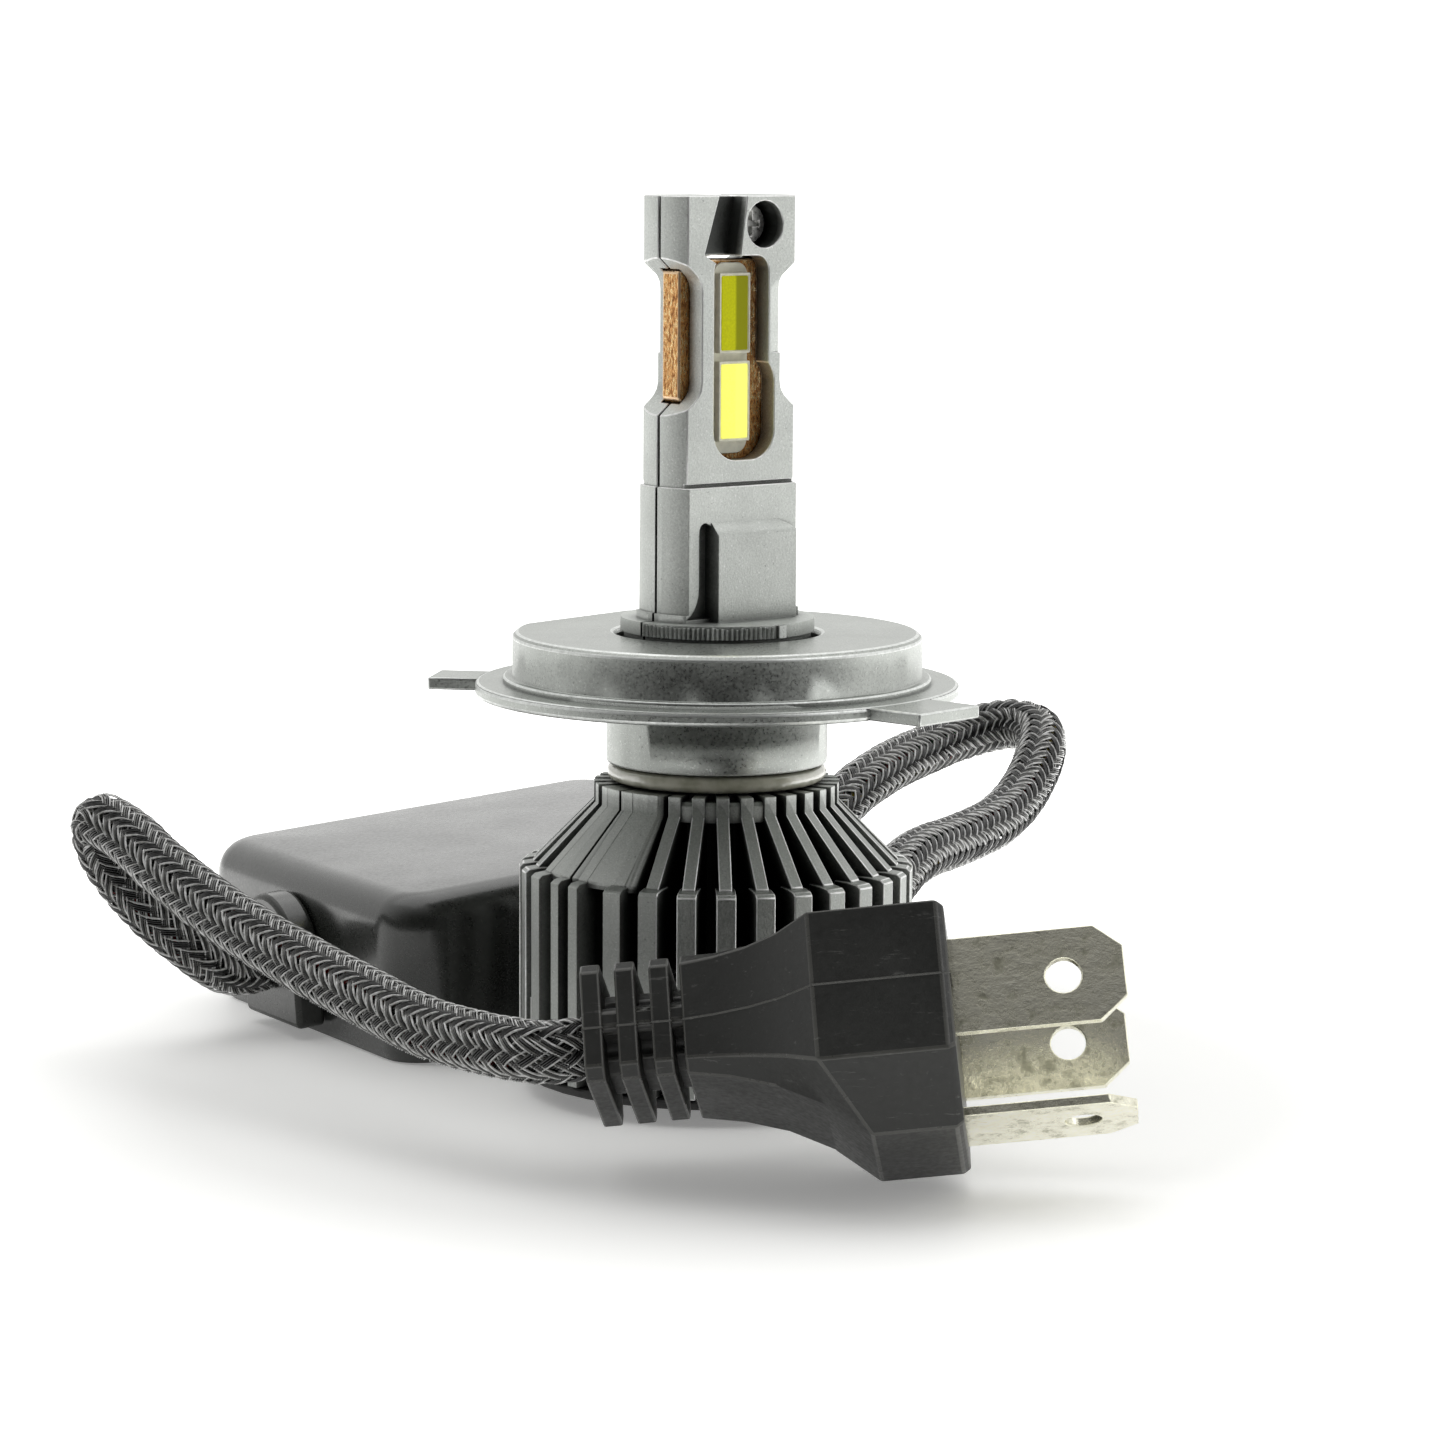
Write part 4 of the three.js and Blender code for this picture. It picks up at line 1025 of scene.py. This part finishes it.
def stage():
    """The pale floor, giving off painted light that is dimmer near the object. In reflections and on the
    object, its front and left are darker, like the room.
    """
    pale, dark = (0.93, 0.93, 0.92), (0.03, 0.03, 0.03)
    near, far, half = 0.1, 0.14, 4.0
    look = Look("floor", pale, 0.5)
    look.bump(look.noise(30, 2), 0.02)
    length = look.add("ShaderNodeVectorMath", {"Vector": look.place}, operation="LENGTH")
    distance = length.outputs["Value"]
    side, ahead = (look.calc(look.axis(k), distance, "DIVIDE") for k in (0, 1))
    front = look.calc(look.fit(distance, near, far, 1, 0), look.fit(ahead, -0.88, 0.15, 0.02, 1), "MAXIMUM")
    reflected = look.calc(front, look.fit(side, -1.0, 0.2, 0.72, 1), "MULTIPLY")
    seen = look.add("ShaderNodeLightPath").outputs["Is Camera Ray"]
    lit = look.calc(reflected, seen, "MAXIMUM")
    look.set("Base Color", look.mix(lit, dark, pale))
    # Painted light: the floor shines, dimmer near the object so that its shadows show.
    painted_glow = look.fit(distance, near / 2, 0.12, 0.22, 1.05)
    look.set("Emission Color", (1, 1, 0.99, 1))
    look.set("Emission Strength", look.calc(painted_glow, lit, "MULTIPLY"))
    z = CAD_BOX[0].z - 0.02 * MM
    corners = [(-half, -half, z), (half, -half, z), (half, half, z), (-half, half, z)]
    mesh = mesh_of("floor", corners, [(0, 1, 2, 3)])
    mesh.materials.append(look.material)
    floor = bpy.data.objects.new("floor", mesh)
    bpy.context.scene.collection.objects.link(floor)


def soft_light(name, place, aim, size, watts):
    """A square soft box that looks at a point."""
    light = bpy.data.lights.new(name, "AREA")
    light.shape = "RECTANGLE"
    light.size = light.size_y = size
    light.energy = watts
    lamp = bpy.data.objects.new(name, light)
    lamp.location = place
    lamp.rotation_euler = (Vector(aim) - Vector(place)).to_track_quat("-Z", "Y").to_euler()
    bpy.context.scene.collection.objects.link(lamp)


def studio():
    """A bright cove all round the object, with the dark of the room behind the camera."""
    world = bpy.data.worlds.new("studio")
    bpy.context.scene.world = world
    world.use_nodes = True
    tree = world.node_tree

    def node(kind, **settings):
        made = tree.nodes.new(kind)
        for key, value in settings.items():
            setattr(made, key, value)
        return made

    def scaled(value, low, high, new_low, new_high):
        made = node("ShaderNodeMapRange", interpolation_type="SMOOTHSTEP")
        for key, number in zip(RANGE_INPUTS, (low, high, new_low, new_high)):
            made.inputs[key].default_value = number
        tree.links.new(value, made.inputs["Value"])
        return made.outputs["Result"]

    background = tree.nodes["Background"]
    background.inputs["Color"].default_value = (1.0, 1.0, 0.985, 1)
    way = node("ShaderNodeSeparateXYZ")
    tree.links.new(node("ShaderNodeTexCoord").outputs["Generated"], way.inputs["Vector"])
    room = scaled(way.outputs["Y"], -0.88, 0.15, 0.03, 1.0)
    left = scaled(way.outputs["X"], -1.0, 0.2, 0.74, 1.0)
    both = node("ShaderNodeMath", operation="MULTIPLY")
    tree.links.new(room, both.inputs[0])
    tree.links.new(left, both.inputs[1])
    seen = node("ShaderNodeMix", data_type="FLOAT")
    tree.links.new(node("ShaderNodeLightPath").outputs["Is Camera Ray"], seen.inputs["Factor"])
    tree.links.new(both.outputs[0], seen.inputs["A"])
    seen.inputs["B"].default_value = 1.1
    tree.links.new(seen.outputs[0], background.inputs["Strength"])
    middle = (0, 0, 0.04)
    soft_light("key", (0.5, -0.25, 0.5), middle, 0.35, 0.45)
    soft_light("top", (-0.1, 0.15, 0.7), middle, 0.7, 0.8)
    bpy.context.scene.view_settings.view_transform = "Standard"


def camera():
    """The photo's view: from the front, a little above the flange and tilted down at it."""
    distance, above_flange = 0.38386, 0.05038
    down, left, lean = 8.03, -0.075, 0.36
    data = bpy.data.cameras.new("camera")
    data.sensor_width = 36
    data.lens = 108.62
    data.clip_start = 0.01
    data.clip_end = 20
    eye = bpy.data.objects.new("camera", data)
    tilt = Matrix.Rotation(math.radians(90 - down), 4, "X")
    pan = Matrix.Rotation(math.radians(left), 4, "Z")
    roll = Matrix.Rotation(math.radians(lean), 4, "Z")
    place = Matrix.Translation((0, -distance, FLANGE_TOP + above_flange))
    eye.matrix_world = place @ pan @ tilt @ roll
    bpy.context.scene.collection.objects.link(eye)
    bpy.context.scene.camera = eye


lamp_pieces()
fan_pieces()
driver_pieces()
plug_pieces()
cables()
stage()
studio()
camera()
